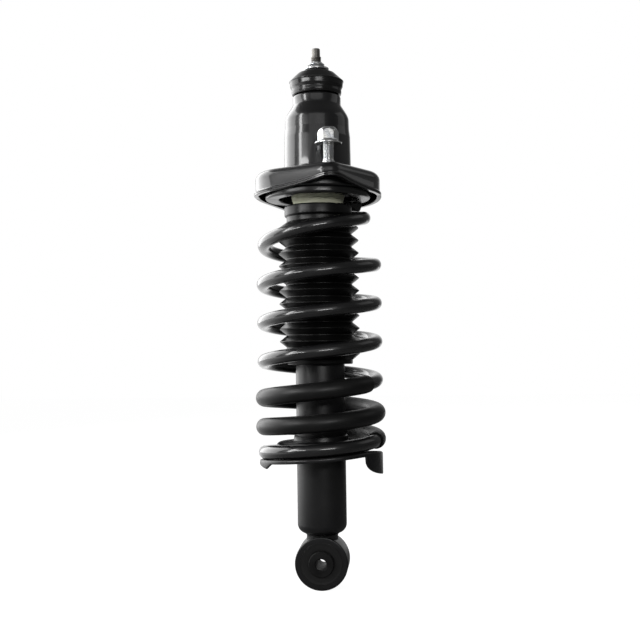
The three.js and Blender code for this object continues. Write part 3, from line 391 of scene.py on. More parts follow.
eye_low, eye_high = box_of("lower_eye")
sleeve_low, sleeve_high = box_of("inner_sleeve")
bolt_height = (sleeve_low.z + sleeve_high.z) / 2
eye_radius = bolt_height - eye_low.z
eye_bore = 20.5
eye_half = eye_high.y
eye_edge = 1.4
neck_radius = 15.3
neck_flare = 2.24
neck_round = 3
neck_lift = 0.2  # of the neck's waist over the middle of its height
neck_bury = 15.5  # of its foot, above the bolt

eye_ring = turned(
    "lower_eye_forging",
    rounded([
        (0, -eye_half),
        (eye_radius, -eye_half, eye_edge),
        (eye_radius, eye_half, eye_edge),
        (0, eye_half),
    ]),
    along="Y",
    height=bolt_height,
)
neck_top = eye_high.z
neck_waist = (neck_top + bolt_height + eye_radius) / 2 + neck_lift
neck = turned(
    "neck",
    rounded([
        (0, bolt_height + neck_bury),
        (neck_radius, bolt_height + neck_bury),
        (neck_radius, neck_waist, neck_round),
        (neck_radius + neck_flare, neck_top, 0.4),
        (0, neck_top),
    ]),
)
combine(eye_ring, neck, "UNION")
eye_hole = turned(
    "eye_hole",
    rounded([
        (0, -eye_radius),
        (eye_bore, -eye_radius),
        (eye_bore, eye_radius),
        (0, eye_radius),
    ]),
    along="Y",
    height=bolt_height,
)
combine(eye_ring, eye_hole, "DIFFERENCE")
dress(eye_ring, "damper_body", satin_black, "satin_black_paint", "lower_eye")

# ------------------------------------------------------------------------------------ eye bush
# Rubber bonded between the ring and the bolt sleeve. Its ends lie almost flush with the ring, and
# the mould leaves them smooth, so ring and rubber read as one dark face.

rubber_black, tree, shader, where = new_finish("black_rubber", IOR=1.5)
tone(tree, shader, where, (0.008, 0.008, 0.008), (0.005, 0.005, 0.005), 0.34, 0.44)
relief(tree, shader, grain_height(tree, where, 0.5), 0.015)

bush_inner = 12.5
bush_outer = 20.4
bush_half = eye_half
bush_dip = 0.3
bush_roll = 2.5
bush_edge = 0.2
bush = turned(
    "rubber_bush",
    rounded([
        (bush_inner, bush_dip - bush_half, bush_edge),
        (bush_outer - bush_roll, bush_dip - bush_half, bush_edge),
        (bush_outer, -bush_half, bush_edge),
        (bush_outer, bush_half, bush_edge),
        (bush_outer - bush_roll, bush_half - bush_dip, bush_edge),
        (bush_inner, bush_half - bush_dip, bush_edge),
    ]),
    along="Y",
    height=bolt_height,
)
dress(bush, "damper_body", rubber_black, "black_rubber", "eye_bush")

# ------------------------------------------------------------------------------------ bolt sleeve
# Steel tube, turned and blackened, that the lower bolt clamps by its ends. Each end is chamfered
# inside and out, and the outer chamfer shines as a thin ring.

# Tool lines: the height of fine rings that a lathe tool leaves round an axis.
tool_lines, given, put = shader_group(
    "tool_lines",
    [("Distance", "Float", 0.0), ("Pitch", "Float", 0.3), ("Vector", "Vector", None)],
    [("Height", "Float")],
)
wander = add_node(tool_lines, "TexNoise", {"Vector": given["Vector"], "Scale": 300.0, "Detail": 2.0})
lines = calculate(tool_lines, "DIVIDE", given["Distance"], given["Pitch"])
unsteady = calculate(tool_lines, "ADD", lines, wander.outputs["Fac"])
wave = calculate(tool_lines, "SINE", calculate(tool_lines, "MULTIPLY", unsteady, 2 * math.pi))
tool_lines.links.new(add_node(tool_lines, "MapRange", {0: wave, 1: -1.0, 2: 1.0}).outputs[0], put["Height"])


def tool_height(tree, where, pitch_mm, axis="Z"):
    """Height of tool lines that follow one another along an axis of the frame."""
    along_axis = add_node(tree, "SeparateXYZ", {0: where}).outputs[axis]
    cut = {"Distance": along_axis, "Pitch": pitch_mm * MM, "Vector": where}
    return add_node(tree, "Group", cut, node_tree=tool_lines).outputs["Height"]


sleeve_black, tree, shader, where = new_finish("sleeve_black", IOR=1.25)
tone(tree, shader, where, (0.013, 0.013, 0.013), (0.007, 0.007, 0.007), 0.42, 0.54, 120.0)
relief(tree, shader, tool_height(tree, where, 0.35, "Y"), 0.006)

sleeve_bore = 5.25
sleeve_radius = 12.4
sleeve_half = sleeve_high.y
sleeve_edge = 0.8
sleeve = turned(
    "bolt_sleeve_tube",
    [
        (sleeve_bore, sleeve_edge - sleeve_half),
        (sleeve_bore + sleeve_edge, -sleeve_half),
        (sleeve_radius - sleeve_edge, -sleeve_half),
        (sleeve_radius, sleeve_edge - sleeve_half),
        (sleeve_radius, sleeve_half - sleeve_edge),
        (sleeve_radius - sleeve_edge, sleeve_half),
        (sleeve_bore + sleeve_edge, sleeve_half),
        (sleeve_bore, sleeve_half - sleeve_edge),
    ],
    along="Y",
    height=bolt_height,
)
dress(sleeve, "bolt_sleeve", sleeve_black, "dark_steel", "inner_sleeve")

# ------------------------------------------------------------------------------------ damper tube
# Reserve tube of drawn steel, spun shut and rounded at its foot and rolled in over the seal at its
# top, painted satin black.

tube_low, tube_high = box_of("outer_tube")
tube_radius = 24
tube_wall = 2
tube_foot_round = 9
tube_roll = 2.5  # thickness of the rolled edge
tube_roll_width = 6
tube_top_round = 2
tube = turned(
    "damper_tube",
    rounded(
        [
            (0, tube_low.z),
            (tube_radius, tube_low.z, tube_foot_round),
            (tube_radius, tube_high.z, tube_top_round),
            (tube_radius - tube_roll_width, tube_high.z),
            (tube_radius - tube_roll_width, tube_high.z - tube_roll),
            (tube_radius - tube_wall, tube_high.z - tube_roll),
            (tube_radius - tube_wall, tube_low.z + tube_wall, tube_foot_round - tube_wall),
            (0, tube_low.z + tube_wall),
        ],
        12,
    ),
)
dress(tube, "damper_body", satin_black, "satin_black_paint", "outer_tube")

# ------------------------------------------------------------------------------------ inside the damper
# Pressure tube, base valve, rod guide and seal, and on the rod the rebound stop, piston, band,
# valve discs and nut. All are shut in the damper and keep their CAD shapes.

bright_steel, tree, shader, where = new_finish("bright_steel", Metallic=1.0)
tone(tree, shader, where, (0.56, 0.57, 0.58), (0.46, 0.47, 0.48), 0.14, 0.24, 90.0)
relief(tree, shader, tool_height(tree, where, 0.25), 0.004)

dark_steel, tree, shader, where = new_finish("dark_steel", Metallic=0.85)
tone(tree, shader, where, (0.17, 0.155, 0.14), (0.09, 0.082, 0.075), 0.34, 0.5, 120.0)
relief(tree, shader, tool_height(tree, where, 0.35, "Y"), 0.01)

sintered_steel, tree, shader, where = new_finish("sintered_steel", Metallic=0.7)
tone(tree, shader, where, (0.27, 0.26, 0.25), (0.17, 0.165, 0.16), 0.5, 0.65, 200.0)
relief(tree, shader, grain_height(tree, where, 0.3), 0.03)

band_plastic, tree, shader, where = new_finish("band_plastic", IOR=1.45)
tone(tree, shader, where, (0.055, 0.085, 0.06), (0.04, 0.065, 0.045), 0.4, 0.5, 150.0)
relief(tree, shader, grain_height(tree, where, 0.4), 0.01)


def finish_node(node, material):
    """Gives a CAD node that stays in view its finish."""
    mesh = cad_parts[node].data
    mesh.materials.clear()
    mesh.materials.append(material)


for node in ("work_tube", "valve_stack"):
    finish_node(node, bright_steel)
for node in ("base_valve", "rod_guide", "piston"):
    finish_node(node, sintered_steel)
for node in ("rod_seal", "rebound_stop"):
    finish_node(node, rubber_black)
finish_node("piston_band", band_plastic)
finish_node("piston_nut", dark_steel)

# ------------------------------------------------------------------------------------ tube cap
# Moulded plastic cap pushed over the tube's top, inside the boot. The bump stop lands on it, and
# the boot's foot is turned in under its flange.

cap_plastic, tree, shader, where = new_finish("cap_plastic", IOR=1.47)
tone(tree, shader, where, (0.022, 0.022, 0.023), (0.015, 0.015, 0.016), 0.45, 0.55, 80.0)
relief(tree, shader, grain_height(tree, where, 0.6), 0.02)
finish_node("tube_cap", cap_plastic)

# ------------------------------------------------------------------------------------ lower spring seat
# Steel dish pressed from one sheet and welded to the tube. Its floor rises under the wire's first
# half turn or so and falls back; the turned-down lip carries a hanging lug and a small pointed dart.

seat_black, tree, shader, where = new_finish("seat_black_paint", IOR=1.5)
tone(tree, shader, where, (0.006, 0.006, 0.0065), (0.004, 0.004, 0.0045), 0.30, 0.40, 30.0)
relief(tree, shader, grain_height(tree, where, 1.5), 0.01)

wire_radius = 6.5
coil_radius = 54.9
coil_turns = 7
closed_pitch = 24.6
working_pitch = 37.6
pitch_ramp_start = 1.0
pitch_ramp_end = 3.2
top_coil_radius = 45
top_coil_turns = 0.95
top_coil_settled = 0.3
top_coil_rise = 8.5
coil_start = math.radians(113)
seat_ramp_turns = 0.58
seat_ramp_back = 0.97


def smoothstep(value, low, high):
    share = min(max((value - low) / (high - low), 0), 1)
    return share * share * (3 - 2 * share)


def drawn_in(turns):
    """How far the wire has moved in to its top radius, from 0 to 1."""
    return smoothstep(turns, coil_turns - top_coil_turns, coil_turns - top_coil_settled)


def spring_rise(turns):
    """Height that the wire has gained after some turns from its lower end."""
    ramp_turns = pitch_ramp_end - pitch_ramp_start
    share = min(max((turns - pitch_ramp_start) / ramp_turns, 0), 1)
    open_turns = ramp_turns * (share**3 - share**4 / 2) + max(turns - pitch_ramp_end, 0)
    opened = closed_pitch * turns + (working_pitch - closed_pitch) * open_turns
    return opened + top_coil_rise * drawn_in(turns)


def turns_at(angle):
    """Turns of wire that lie below an angle about the strut, counted from the wire's lower end."""
    return ((angle - coil_start) / (2 * math.pi)) % 1


def ramp_rise(angle):
    turns = turns_at(angle)
    back = smoothstep(turns, seat_ramp_turns, seat_ramp_back)
    return spring_rise(min(turns, seat_ramp_turns)) * (1 - back)


seat_gap = 0.3  # between pieces that bear on one another
seat_height = 67.2  # from the tube's closed end to the foot of the ramp
seat_rim_width = 5.3  # rim beyond the middle of the wire
seat_well_width = 10.8  # floor inside the middle of the wire
seat_collar_height = 6
seat_collar_wall = 2.2
seat_well_thin = 0.5
collar_room = 0.15  # between the tube and the collar
ramp_foot = tube_low.z + seat_height
wire_start = ramp_foot + seat_gap + wire_radius
seat_sheet = 2.6
seat_rim = coil_radius + seat_rim_width
seat_well = coil_radius - seat_well_width
seat_collar = tube_radius + collar_room
seat_collar_top = box_of("lower_spring_seat")[1].z
seat_crown = seat_collar_top - seat_collar_height
seat_lip_drop = 4.2
lug_drop = 18
lug_angle = 365
lug_span = 45
dart_drop = 4.5
dart_angle = 213
dart_run = 26
dart_end = 9
seat_steps = 360
lug_before_end = 1e-4  # radians from the lug's square end to the section that still has it
lug_past_end = 1.5e-3  # and to the one that no longer does


def lip_extra(angle):
    """What the lug and the dart hang below the lip at an angle."""
    degrees = math.degrees(angle) % 360
    past_dart = degrees - dart_angle
    dart = max(1 - (past_dart / dart_end if past_dart > 0 else -past_dart / dart_run), 0)
    before_lug = (lug_angle - degrees) % 360
    lug = (1 - (before_lug / lug_span) ** 3) ** (1 / 3) if before_lug < lug_span else 0
    return dart_drop * dart + lug_drop * lug


def seat_outline(angle):
    """Section of the dish at an angle, with the same number of points all round."""
    floor_height = ramp_foot + ramp_rise(angle)
    lip = floor_height - seat_lip_drop - lip_extra(angle)
    return rounded(
        [
            (seat_collar, seat_crown - seat_sheet, 0.3),
            (seat_collar, seat_collar_top, 0.6),
            (seat_collar + seat_collar_wall, seat_collar_top, 0.8),
            (seat_collar + seat_sheet, seat_crown, 2.0),
            (seat_well, seat_crown, 4.5),
            (seat_well, floor_height, 2.2),
            (seat_rim, floor_height, 2.6),
            (seat_rim, lip, 0.9),
            (seat_rim - seat_sheet, lip, 0.9),
            (seat_rim - seat_sheet, floor_height - seat_sheet, 0.8),
            (seat_well - seat_well_thin, floor_height - seat_sheet, 1.5),
            (seat_well - seat_sheet, seat_crown - seat_sheet, 3.0),
        ],
        5,
    )


def seat_angles():
    """Angles round the seat, with two close together where the lug ends square."""
    lug_end = math.radians(lug_angle - 360)
    angles = around(seat_steps)
    near = min(angles, key=lambda a: abs(a - lug_end))
    angles[angles.index(near)] = lug_end - lug_before_end
    angles.append(lug_end + lug_past_end)
    return sorted(angles)


def swept(name, outline_at, angles):
    """Ring about Z whose outline changes with the angle."""
    rings = [[(r * math.cos(a), r * math.sin(a), h) for r, h in outline_at(a)] for a in angles]
    return skinned(name, rings)


seat = swept("lower_seat_dish", seat_outline, seat_angles())
dress(seat, "damper_body", seat_black, "gloss_black_paint", "lower_spring_seat")

# ------------------------------------------------------------------------------------ coil spring
# Seven turns of 13 mm wire, closed at the lower end, wound wider at the working turns and drawn in
# to a smaller turn at the top. Cold wound, cut square at both ends and painted gloss black.

gloss_black, tree, shader, where = new_finish(
    "gloss_black_paint", IOR=1.5, Coat_Roughness=0.04, Coat_IOR=1.5
)
tone(tree, shader, where, (0.007, 0.007, 0.0075), (0.004, 0.004, 0.0045), 0.26, 0.36, 30.0)
shader.inputs["Coat Weight"].default_value = 0.8
relief(tree, shader, grain_height(tree, where, 4.0), 0.006)

spring_low, spring_high = box_of("coil_spring")
wire_sides = 28
rings_per_turn = 72
end_round = 1.2
end_steps = 4
along_wire = 0.01  # turns to either side, to tell which way the wire runs
solid_pitch = 13.3  # the least that the wire needs from turn to turn
hose_start = 0.65
hose_end = 2.6
hose_pitch = 17.4  # and what the turns that wear a hose need
free_from = seat_ramp_turns
held_turns = 0.2  # of the upper end, which the seat holds still
free_to = coil_turns - held_turns


def wire_middle(turns):
    angle = coil_start + turns * 2 * math.pi
    radius = coil_radius + (top_coil_radius - coil_radius) * drawn_in(turns)
    height = wire_start + spring_rise(turns)
    return Vector((radius * math.cos(angle), radius * math.sin(angle), height))


def wire_ring(turns, radius):
    """Points round the wire, square to its run."""
    middle = wire_middle(turns)
    ahead = (wire_middle(turns + along_wire) - wire_middle(turns - along_wire)).normalized()
    up = Vector((middle.x, middle.y, 0)).cross(ahead).normalized()
    out = ahead.cross(up)
    return [middle + radius * (math.cos(a) * out + math.sin(a) * up) for a in around(wire_sides)]


round_turns = end_round / (2 * math.pi * coil_radius)
wire_stations = [(i / rings_per_turn, wire_radius) for i in range(1, coil_turns * rings_per_turn)]
for k in range(end_steps + 1):
    share = math.radians(90 * k / end_steps)
    inset = round_turns * (1 - math.sin(share))
    shrink = wire_radius - end_round * (1 - math.cos(math.pi / 2 - share))
    wire_stations.append((inset, shrink))
    wire_stations.append((coil_turns - inset, shrink))
wire_stations.sort()
spring = skinned("coil_spring_wire", [wire_ring(t, r) for t, r in wire_stations], closed=False)
spring.data.materials.append(gloss_black)


def spare_rise(turns):
    """Height up to some turns that the wire can give up before its turns touch."""
    hosed = min(max(turns, hose_start), hose_end + 1) - hose_start
    return spring_rise(turns) - solid_pitch * turns - (hose_pitch - solid_pitch) * hosed


def follows_damper(turns):
    """Share of the damper's travel that the wire makes at some turns: all on the seat, none at the top."""
    gained = spare_rise(turns) - spare_rise(free_from)
    whole = spare_rise(free_to) - spare_rise(free_from)
    return min(max(1 - gained / whole, 0.0), 1.0)


def turns_of(point):
    """Turns at which a point of the wire lies, from its angle and the nearest height."""
    part = turns_at(math.atan2(point.y, point.x))
    passes = [part + k for k in range(-1, coil_turns + 1)]
    return min(passes, key=lambda t: abs(wire_start + spring_rise(max(t, 0)) - point.z / MM))


def wire_share(point):
    return follows_damper(turns_of(point))


def blend_down(piece, node, high, low, share_at):
    """Stretches a piece between mount and damper in place of a CAD node, by a share at each point."""
    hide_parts(node)
    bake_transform(piece, "upper_mount", "damper_body", start=(0, 0, high.z * MM), end=(0, 0, low.z * MM))
    share = piece.data.attributes["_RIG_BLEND"].data
    for vertex in piece.data.vertices:
        share[vertex.index].value = share_at(vertex.co)


blend_down(spring, "coil_spring", spring_high, spring_low, wire_share)

# ------------------------------------------------------------------------------------ spring hose
# Hose of black rubber pushed over nearly two lower turns, so that they don't strike each other. It
# is extruded, matte beside the painted wire, and its ends are cut square.

hose_rubber, tree, shader, where = new_finish("hose_rubber", IOR=1.4)
tone(tree, shader, where, (0.007, 0.007, 0.007), (0.005, 0.005, 0.005), 0.36, 0.46, 60.0)
relief(tree, shader, grain_height(tree, where, 0.6), 0.02)

hose_radius = 8.5
hose_room = 0.35  # between the wire and the hose's bore
hose_edge = 0.4
hose_bore = wire_radius + hose_room
hose_steps = round((hose_end - hose_start) * rings_per_turn)
hose_turns = [hose_start + (hose_end - hose_start) * i / hose_steps for i in range(hose_steps + 1)]
hose_rings = [wire_ring(hose_start, hose_bore), wire_ring(hose_start, hose_radius - hose_edge)]
hose_rings += [wire_ring(t, hose_radius) for t in hose_turns[1:-1]]
hose_rings += [wire_ring(hose_end, hose_radius - hose_edge), wire_ring(hose_end, hose_bore)]
hose_rings += [wire_ring(t, hose_bore) for t in reversed(hose_turns[1:-1])]
hose = skinned("lower_turn_hose", hose_rings)
hose.data.materials.append(hose_rubber)
blend_down(hose, "spring_hose", spring_high, spring_low, wire_share)

# ------------------------------------------------------------------------------------ spring isolator
# Black rubber ring over the spring's upper end, moulded with a pad that comes down to the last
# stretch of wire. It lies under the upper spring seat's floor and is seen from below.

isolator_rubber, tree, shader, where = new_finish("isolator_rubber", IOR=1.5)
tone(tree, shader, where, (0.012, 0.012, 0.012), (0.008, 0.008, 0.008), 0.22, 0.32)
relief(tree, shader, grain_height(tree, where, 0.8), 0.02)

isolator_margin = 0.2  # beyond the wire, inside and outside
isolator_top = box_of("spring_isolator")[1].z
isolator_foot = wire_start + spring_rise(coil_turns) + wire_radius + seat_gap
isolator_inner = top_coil_radius - wire_radius - isolator_margin
isolator_outer = top_coil_radius + wire_radius + isolator_margin
isolator_steps = 240
pad_turns = 0.22
pad_fade = 0.015  # turns over which the pad runs out


def pad_depth(angle):
    """How far the pad under the isolator comes down at an angle."""
    before_end = (coil_turns - turns_at(angle)) % 1
    if before_end > pad_turns:
        return 0
    depth = spring_rise(coil_turns) - spring_rise(coil_turns - before_end)
    return depth * smoothstep(pad_turns - before_end, 0, pad_fade)


def isolator_outline(angle):
    foot = isolator_foot - pad_depth(angle)
    return rounded([
        (isolator_inner, foot, 2),
        (isolator_outer, foot, 2.4),
        (isolator_outer, isolator_top, 0.8),
        (isolator_inner, isolator_top, 0.8),
    ])


isolator = swept("isolator_ring", isolator_outline, around(isolator_steps))
dress(isolator, "upper_mount", isolator_rubber, "black_rubber", "spring_isolator")

# ------------------------------------------------------------------------------------ upper spring seat
# Ring of U section pressed from sheet, open upward. Its inner wall carries it under the tower's
# foot, and the isolator lies against its floor.

upper_seat_low, upper_seat_high = box_of("upper_spring_seat")
upper_seat_sheet = 2.5
upper_seat_rim = 8
upper_seat_inner = top_coil_radius - wire_radius
upper_seat_outer = top_coil_radius + wire_radius
upper_seat = turned(
    "upper_seat_ring",
    rounded([
        (upper_seat_inner, upper_seat_low.z, 2.5),
        (upper_seat_outer, upper_seat_low.z, 2.5),
        (upper_seat_outer, upper_seat_low.z + upper_seat_rim, 0.8),
        (upper_seat_outer - upper_seat_sheet, upper_seat_low.z + upper_seat_rim, 0.8),
        (upper_seat_outer - upper_seat_sheet, upper_seat_low.z + upper_seat_sheet, 1),
        (upper_seat_inner + upper_seat_sheet, upper_seat_low.z + upper_seat_sheet, 1),
        (upper_seat_inner + upper_seat_sheet, upper_seat_high.z),
        (upper_seat_inner, upper_seat_high.z),
    ]),
)
dress(upper_seat, "upper_mount", seat_black, "gloss_black_paint", "upper_spring_seat")

# ------------------------------------------------------------------------------------ tower
# Cup drawn deep from one blank: a foot under the pan, a wall that steps in a little halfway up, a
# round shoulder and a neck whose flat top is pierced for the rod. Gloss black like the pan.

tower_low, tower_high = box_of("mount_tower")
tower_radius = 33
tower_upper_radius = 31.5
tower_sheet = 2.5
tower_foot_radius = 43.5
tower_neck_radius = 23.8
tower_neck_height = 9.5
tower_shoulder = 16
tower_mouth = 12.5
tower_step_height = 38.7  # over the pan
tower_step_half = 4
tower_step_round = 8
tower_lower_taper = 0.4
tower_upper_taper = 0.2
shoulder_steps = 14
shoulder_thin = 0.6  # by which the inside of the shoulder lies lower
tower_neck_foot = tower_high.z - tower_neck_height
pan_low, pan_high = box_of("mount_flange")
pan_collar_height = 4.5
pan_top = pan_high.z - pan_collar_height
tower_step = pan_top + tower_step_height
lower_wall = tower_radius - tower_lower_taper
upper_wall = tower_upper_radius + tower_upper_taper

shoulder_points = []
for k in range(shoulder_steps + 1):
    share = 1 - k / shoulder_steps
    shoulder_points.append((
        tower_neck_radius + (tower_upper_radius - tower_neck_radius) * (share + share**2 - share**3),
        tower_neck_foot - tower_shoulder * share,
    ))
tower_outside = rounded(
    [
        (tower_foot_radius, tower_low.z, 0.8),
        (tower_foot_radius, tower_low.z + tower_sheet, 0.8),
        (tower_radius, tower_low.z + tower_sheet),
        (tower_radius, pan_top),
        (lower_wall, tower_step - tower_step_half, tower_step_round),
        (upper_wall, tower_step + tower_step_half, tower_step_round),
        *shoulder_points,
        (tower_neck_radius, tower_high.z, 3),
        (tower_mouth, tower_high.z, 0.6),
        (tower_mouth, tower_high.z - tower_sheet, 0.6),
        (tower_neck_radius - tower_sheet, tower_high.z - tower_sheet, 1.5),
        *[(r - tower_sheet, h - shoulder_thin) for r, h in reversed(shoulder_points)],
        (upper_wall - tower_sheet, tower_step + tower_step_half, tower_step_round),
        (lower_wall - tower_sheet, tower_step - tower_step_half, tower_step_round),
        (tower_radius - tower_sheet, tower_low.z),
    ],
    8,
)
tower = turned("tower_shell", tower_outside, 160)
dress(tower, "upper_mount", gloss_black, "gloss_black_paint", "mount_tower")

# ------------------------------------------------------------------------------------ pan
# Flange pressed from 3 mm sheet in the shape of a rounded rhombus, a lobe round each stud. The
# sheet is drawn up round the tower, and its skirt ends in a lip rolled into a double edge.

pan_sheet = 3
pan_edge_round = 8
pan_side_radius = 43
pan_lobe_radius = 14.5
pan_side_margin = 10.1  # of the skirt, beyond the spring's upper end
pan_side_reach = top_coil_radius + wire_radius + pan_side_margin
pan_side_middle = pan_side_reach - pan_side_radius
pan_hole_room = 0.1
pan_hole = tower_radius + pan_hole_room
pan_collar_wall = 0.8
pan_collar_fillet = 4
pan_collar_steps = 8
pan_edge_land = 4  # flat sheet inside the rounded edge
pan_edge_arc_steps = 10
pan_inner_arc_steps = 6
pan_lip = 1.4  # by which the rolled lip stands out from the skirt
pan_arch = 9.3  # of the skirt's foot at the front stud
pan_arch_power = 2.5
pan_rear_drop = 9.8
pan_side_steps = 40
pan_lobe_steps = 28
pan_tie_steps = 12
front_stud_low, front_stud_high = box_of("front_stud")
stud_spot = Vector((front_stud_low.x + front_stud_high.x, front_stud_low.y + front_stud_high.y)) / 2
stud_circle = stud_spot.length
stud_turn = math.atan2(stud_spot.x, -stud_spot.y)
pan_tangent = math.atan2(stud_circle, -pan_side_middle) - math.acos(
    (pan_side_radius - pan_lobe_radius) / math.hypot(stud_circle, pan_side_middle)
)
pan_arcs = [
    (pan_side_middle, 0, pan_side_radius, -pan_tangent, pan_tangent, pan_side_steps),
    (0, stud_circle, pan_lobe_radius, pan_tangent, math.pi - pan_tangent, pan_lobe_steps),
    (-pan_side_middle, 0, pan_side_radius, math.pi - pan_tangent, math.pi + pan_tangent, pan_side_steps),
    (0, -stud_circle, pan_lobe_radius, math.pi + pan_tangent, 2 * math.pi - pan_tangent, pan_lobe_steps),
]


def pan_plan(offset):
    """Points round the pan's plan, moved out by an offset."""
    arcs = []
    for x, y, radius, start, end, steps in pan_arcs:
        angles = [start + (end - start) * i / steps for i in range(steps + 1)]
        reach = radius + offset
        arcs.append([Vector((x + reach * math.cos(a), y + reach * math.sin(a))) for a in angles])
    points = []
    for arc, following in zip(arcs, arcs[1:] + arcs[:1]):
        points += arc
        points += [arc[-1].lerp(following[0], k / pan_tie_steps) for k in range(1, pan_tie_steps)]
    turn = Matrix.Rotation(stud_turn, 2)
    return [turn @ p for p in points]


def pan_ring(offset, height):
    return [(*p, height) for p in pan_plan(offset)]


def skirt_ring(offset, above_foot):
    """Ring at the skirt's foot, which rises towards the front stud and falls to the rear."""
    lobe_reach = stud_circle + pan_lobe_radius
    heights = []
    for place in pan_plan(0):
        to_front_stud = min(max(-(Matrix.Rotation(-stud_turn, 2) @ place).y / lobe_reach, 0), 1)
        to_rear = min(max(place.y / lobe_reach, 0), 1)
        rise = pan_arch * to_front_stud**pan_arch_power - pan_rear_drop * to_rear
        heights.append(pan_low.z + above_foot + rise)
    return [(*p, h) for p, h in zip(pan_plan(offset), heights)]


def pan_circle(radius, height):
    return [(*(p.normalized() * radius), height) for p in pan_plan(0)]


pan_rings = [pan_circle(pan_hole, pan_high.z), pan_circle(pan_hole + pan_collar_wall, pan_high.z)]
for k in range(pan_collar_steps + 1):
    angle = math.radians(180 + 90 * k / pan_collar_steps)
    pan_rings.append(pan_circle(
        pan_hole + pan_collar_wall + pan_collar_fillet * (1 + math.cos(angle)),
        pan_top + pan_collar_fillet * (1 + math.sin(angle)),
    ))
pan_rings.append(pan_ring(-pan_edge_round - pan_edge_land, pan_top))
for k in range(pan_edge_arc_steps + 1):
    angle = math.radians(90 - 90 * k / pan_edge_arc_steps)
    pan_rings.append(pan_ring(
        pan_edge_round * (math.cos(angle) - 1), pan_top + pan_edge_round * (math.sin(angle) - 1)
    ))
# Down over the two rolls of the lip and in under it: offset from the skirt, height above its foot.
lip_section = [
    (0, 4.6), (0.25, 3.9), (0.9, 3.4), (pan_lip, 2.9), (pan_lip, 2.1), (0.75, 1.75), (pan_lip, 1.4),
    (pan_lip, 0.5), (1.0, 0), (-pan_sheet + 0.4, 0), (-pan_sheet, 0.4),
]
pan_rings += [skirt_ring(offset, above_foot) for offset, above_foot in lip_section]
pan_inner_round = pan_edge_round - pan_sheet
for k in range(pan_inner_arc_steps + 1):
    angle = math.radians(90 * k / pan_inner_arc_steps)
    pan_rings.append(pan_ring(
        -pan_edge_round + pan_inner_round * math.cos(angle),
        pan_top - pan_edge_round + pan_inner_round * math.sin(angle),
    ))
pan_rings.append(pan_circle(pan_hole, pan_top - pan_sheet))
pan = skinned("pan_pressing", pan_rings)
dress(pan, "upper_mount", gloss_black, "gloss_black_paint", "mount_flange")

# ------------------------------------------------------------------------------------ studs and their nuts
# Two M10 studs pressed up through the pan, with a flange nut run part of the way down each. Cold
# forged, thread rolled and zinc plated bright.

# Zinc bloom: the faint blue and straw clouds that a passivated zinc coat shows.
bloom, given, put = shader_group(
    "zinc_bloom",
    [("Vector", "Vector", None), ("Cool", "Color", (1, 1, 1, 1)), ("Warm", "Color", (1, 1, 1, 1))],
    [("Color", "Color"), ("Roughness", "Float")],
)
clouds = add_node(bloom, "TexNoise", {"Vector": given["Vector"], "Scale": 160.0, "Detail": 3.0})
mask = add_node(bloom, "MapRange", {0: clouds.outputs["Fac"], 1: 0.35, 2: 0.65}).outputs[0]
bloom.links.new(
    add_node(bloom, "Mix", {0: mask, 6: given["Cool"], 7: given["Warm"]}, data_type="RGBA").outputs[2],
    put["Color"],
)
bloom.links.new(add_node(bloom, "MapRange", {0: mask, 3: 0.19, 4: 0.25}).outputs[0], put["Roughness"])

zinc, tree, shader, where = new_finish("bright_zinc", Metallic=0.9)
zinc_tints = {"Cool": (0.62, 0.64, 0.67, 1), "Warm": (0.67, 0.67, 0.65, 1)}
made = add_node(tree, "Group", {"Vector": where, **zinc_tints}, node_tree=bloom)
tree.links.new(made.outputs["Color"], shader.inputs["Base Color"])
tree.links.new(made.outputs["Roughness"], shader.inputs["Roughness"])
relief(tree, shader, grain_height(tree, where, 0.8), 0.001)

half_groove = 0.42  # share of the pitch from the root of a thread to its crest


def threaded(outline, pitch, depth, foot, top, per_turn=8):
    """Levels of an outline with a thread on its straight stretch, and the function of its radius."""

    def radius_at(radius, height, angle):
        if not foot < height < top:
            return radius
        fade = min((height - foot) / pitch, (top - height) / pitch, 1)
        phase = (height / pitch - angle / (2 * math.pi)) % 1
        cut = max(0, 1 - abs(phase - 0.5) / half_groove)
        return radius - depth * fade * cut

    levels = []
    count = round((top - foot) / pitch * per_turn)
    for (r0, h0), (r1, h1) in zip(outline, outline[1:]):
        levels.append((r0, h0))
        if r0 == r1 and min(h0, h1) <= foot and max(h0, h1) >= top:
            up = h1 > h0
            for k in range(1, count):
                share = k / count if up else 1 - k / count
                levels.append((r0, foot + (top - foot) * share))
    levels.append(outline[-1])
    return levels, radius_at


def screw(name, outline, pitch, depth, foot, top, at=(0, 0), steps=48):
    """Turned piece with a real helical thread between two heights."""
    levels, radius_at = threaded(outline, pitch, depth, foot, top)
    rings = []
    for angle in around(steps):
        ring = []
        for radius, height in levels:
            r = radius_at(radius, height, angle) if radius else 0
            ring.append((at[0] + r * math.cos(angle), at[1] + r * math.sin(angle), height))
        rings.append(ring)
    return skinned(name, rings, sharp=50)


nut_steps = 144
flange_rim = 1.1  # height of the flange's edge
flange_bevel = 0.4
flange_rise = 2.9  # from the flange's edge to the hexagon
flange_neck = 0.6  # by which the flange's top stays inside the hexagon's corners
hexagon_from = 4  # heights over the nut's foot: above this one only the flats cut
flats_from = 1.6  # above this one the flats show in the flange
wall_from = 4.2
corner_room = 0.05  # that the wall stands outside the corners before the flats cut it
corner_cut_from = 0.60  # share of the height at which the corners start to be cut
corner_cut = 2.2
corner_cut_power = 2.2
nut_mouth = 0.9


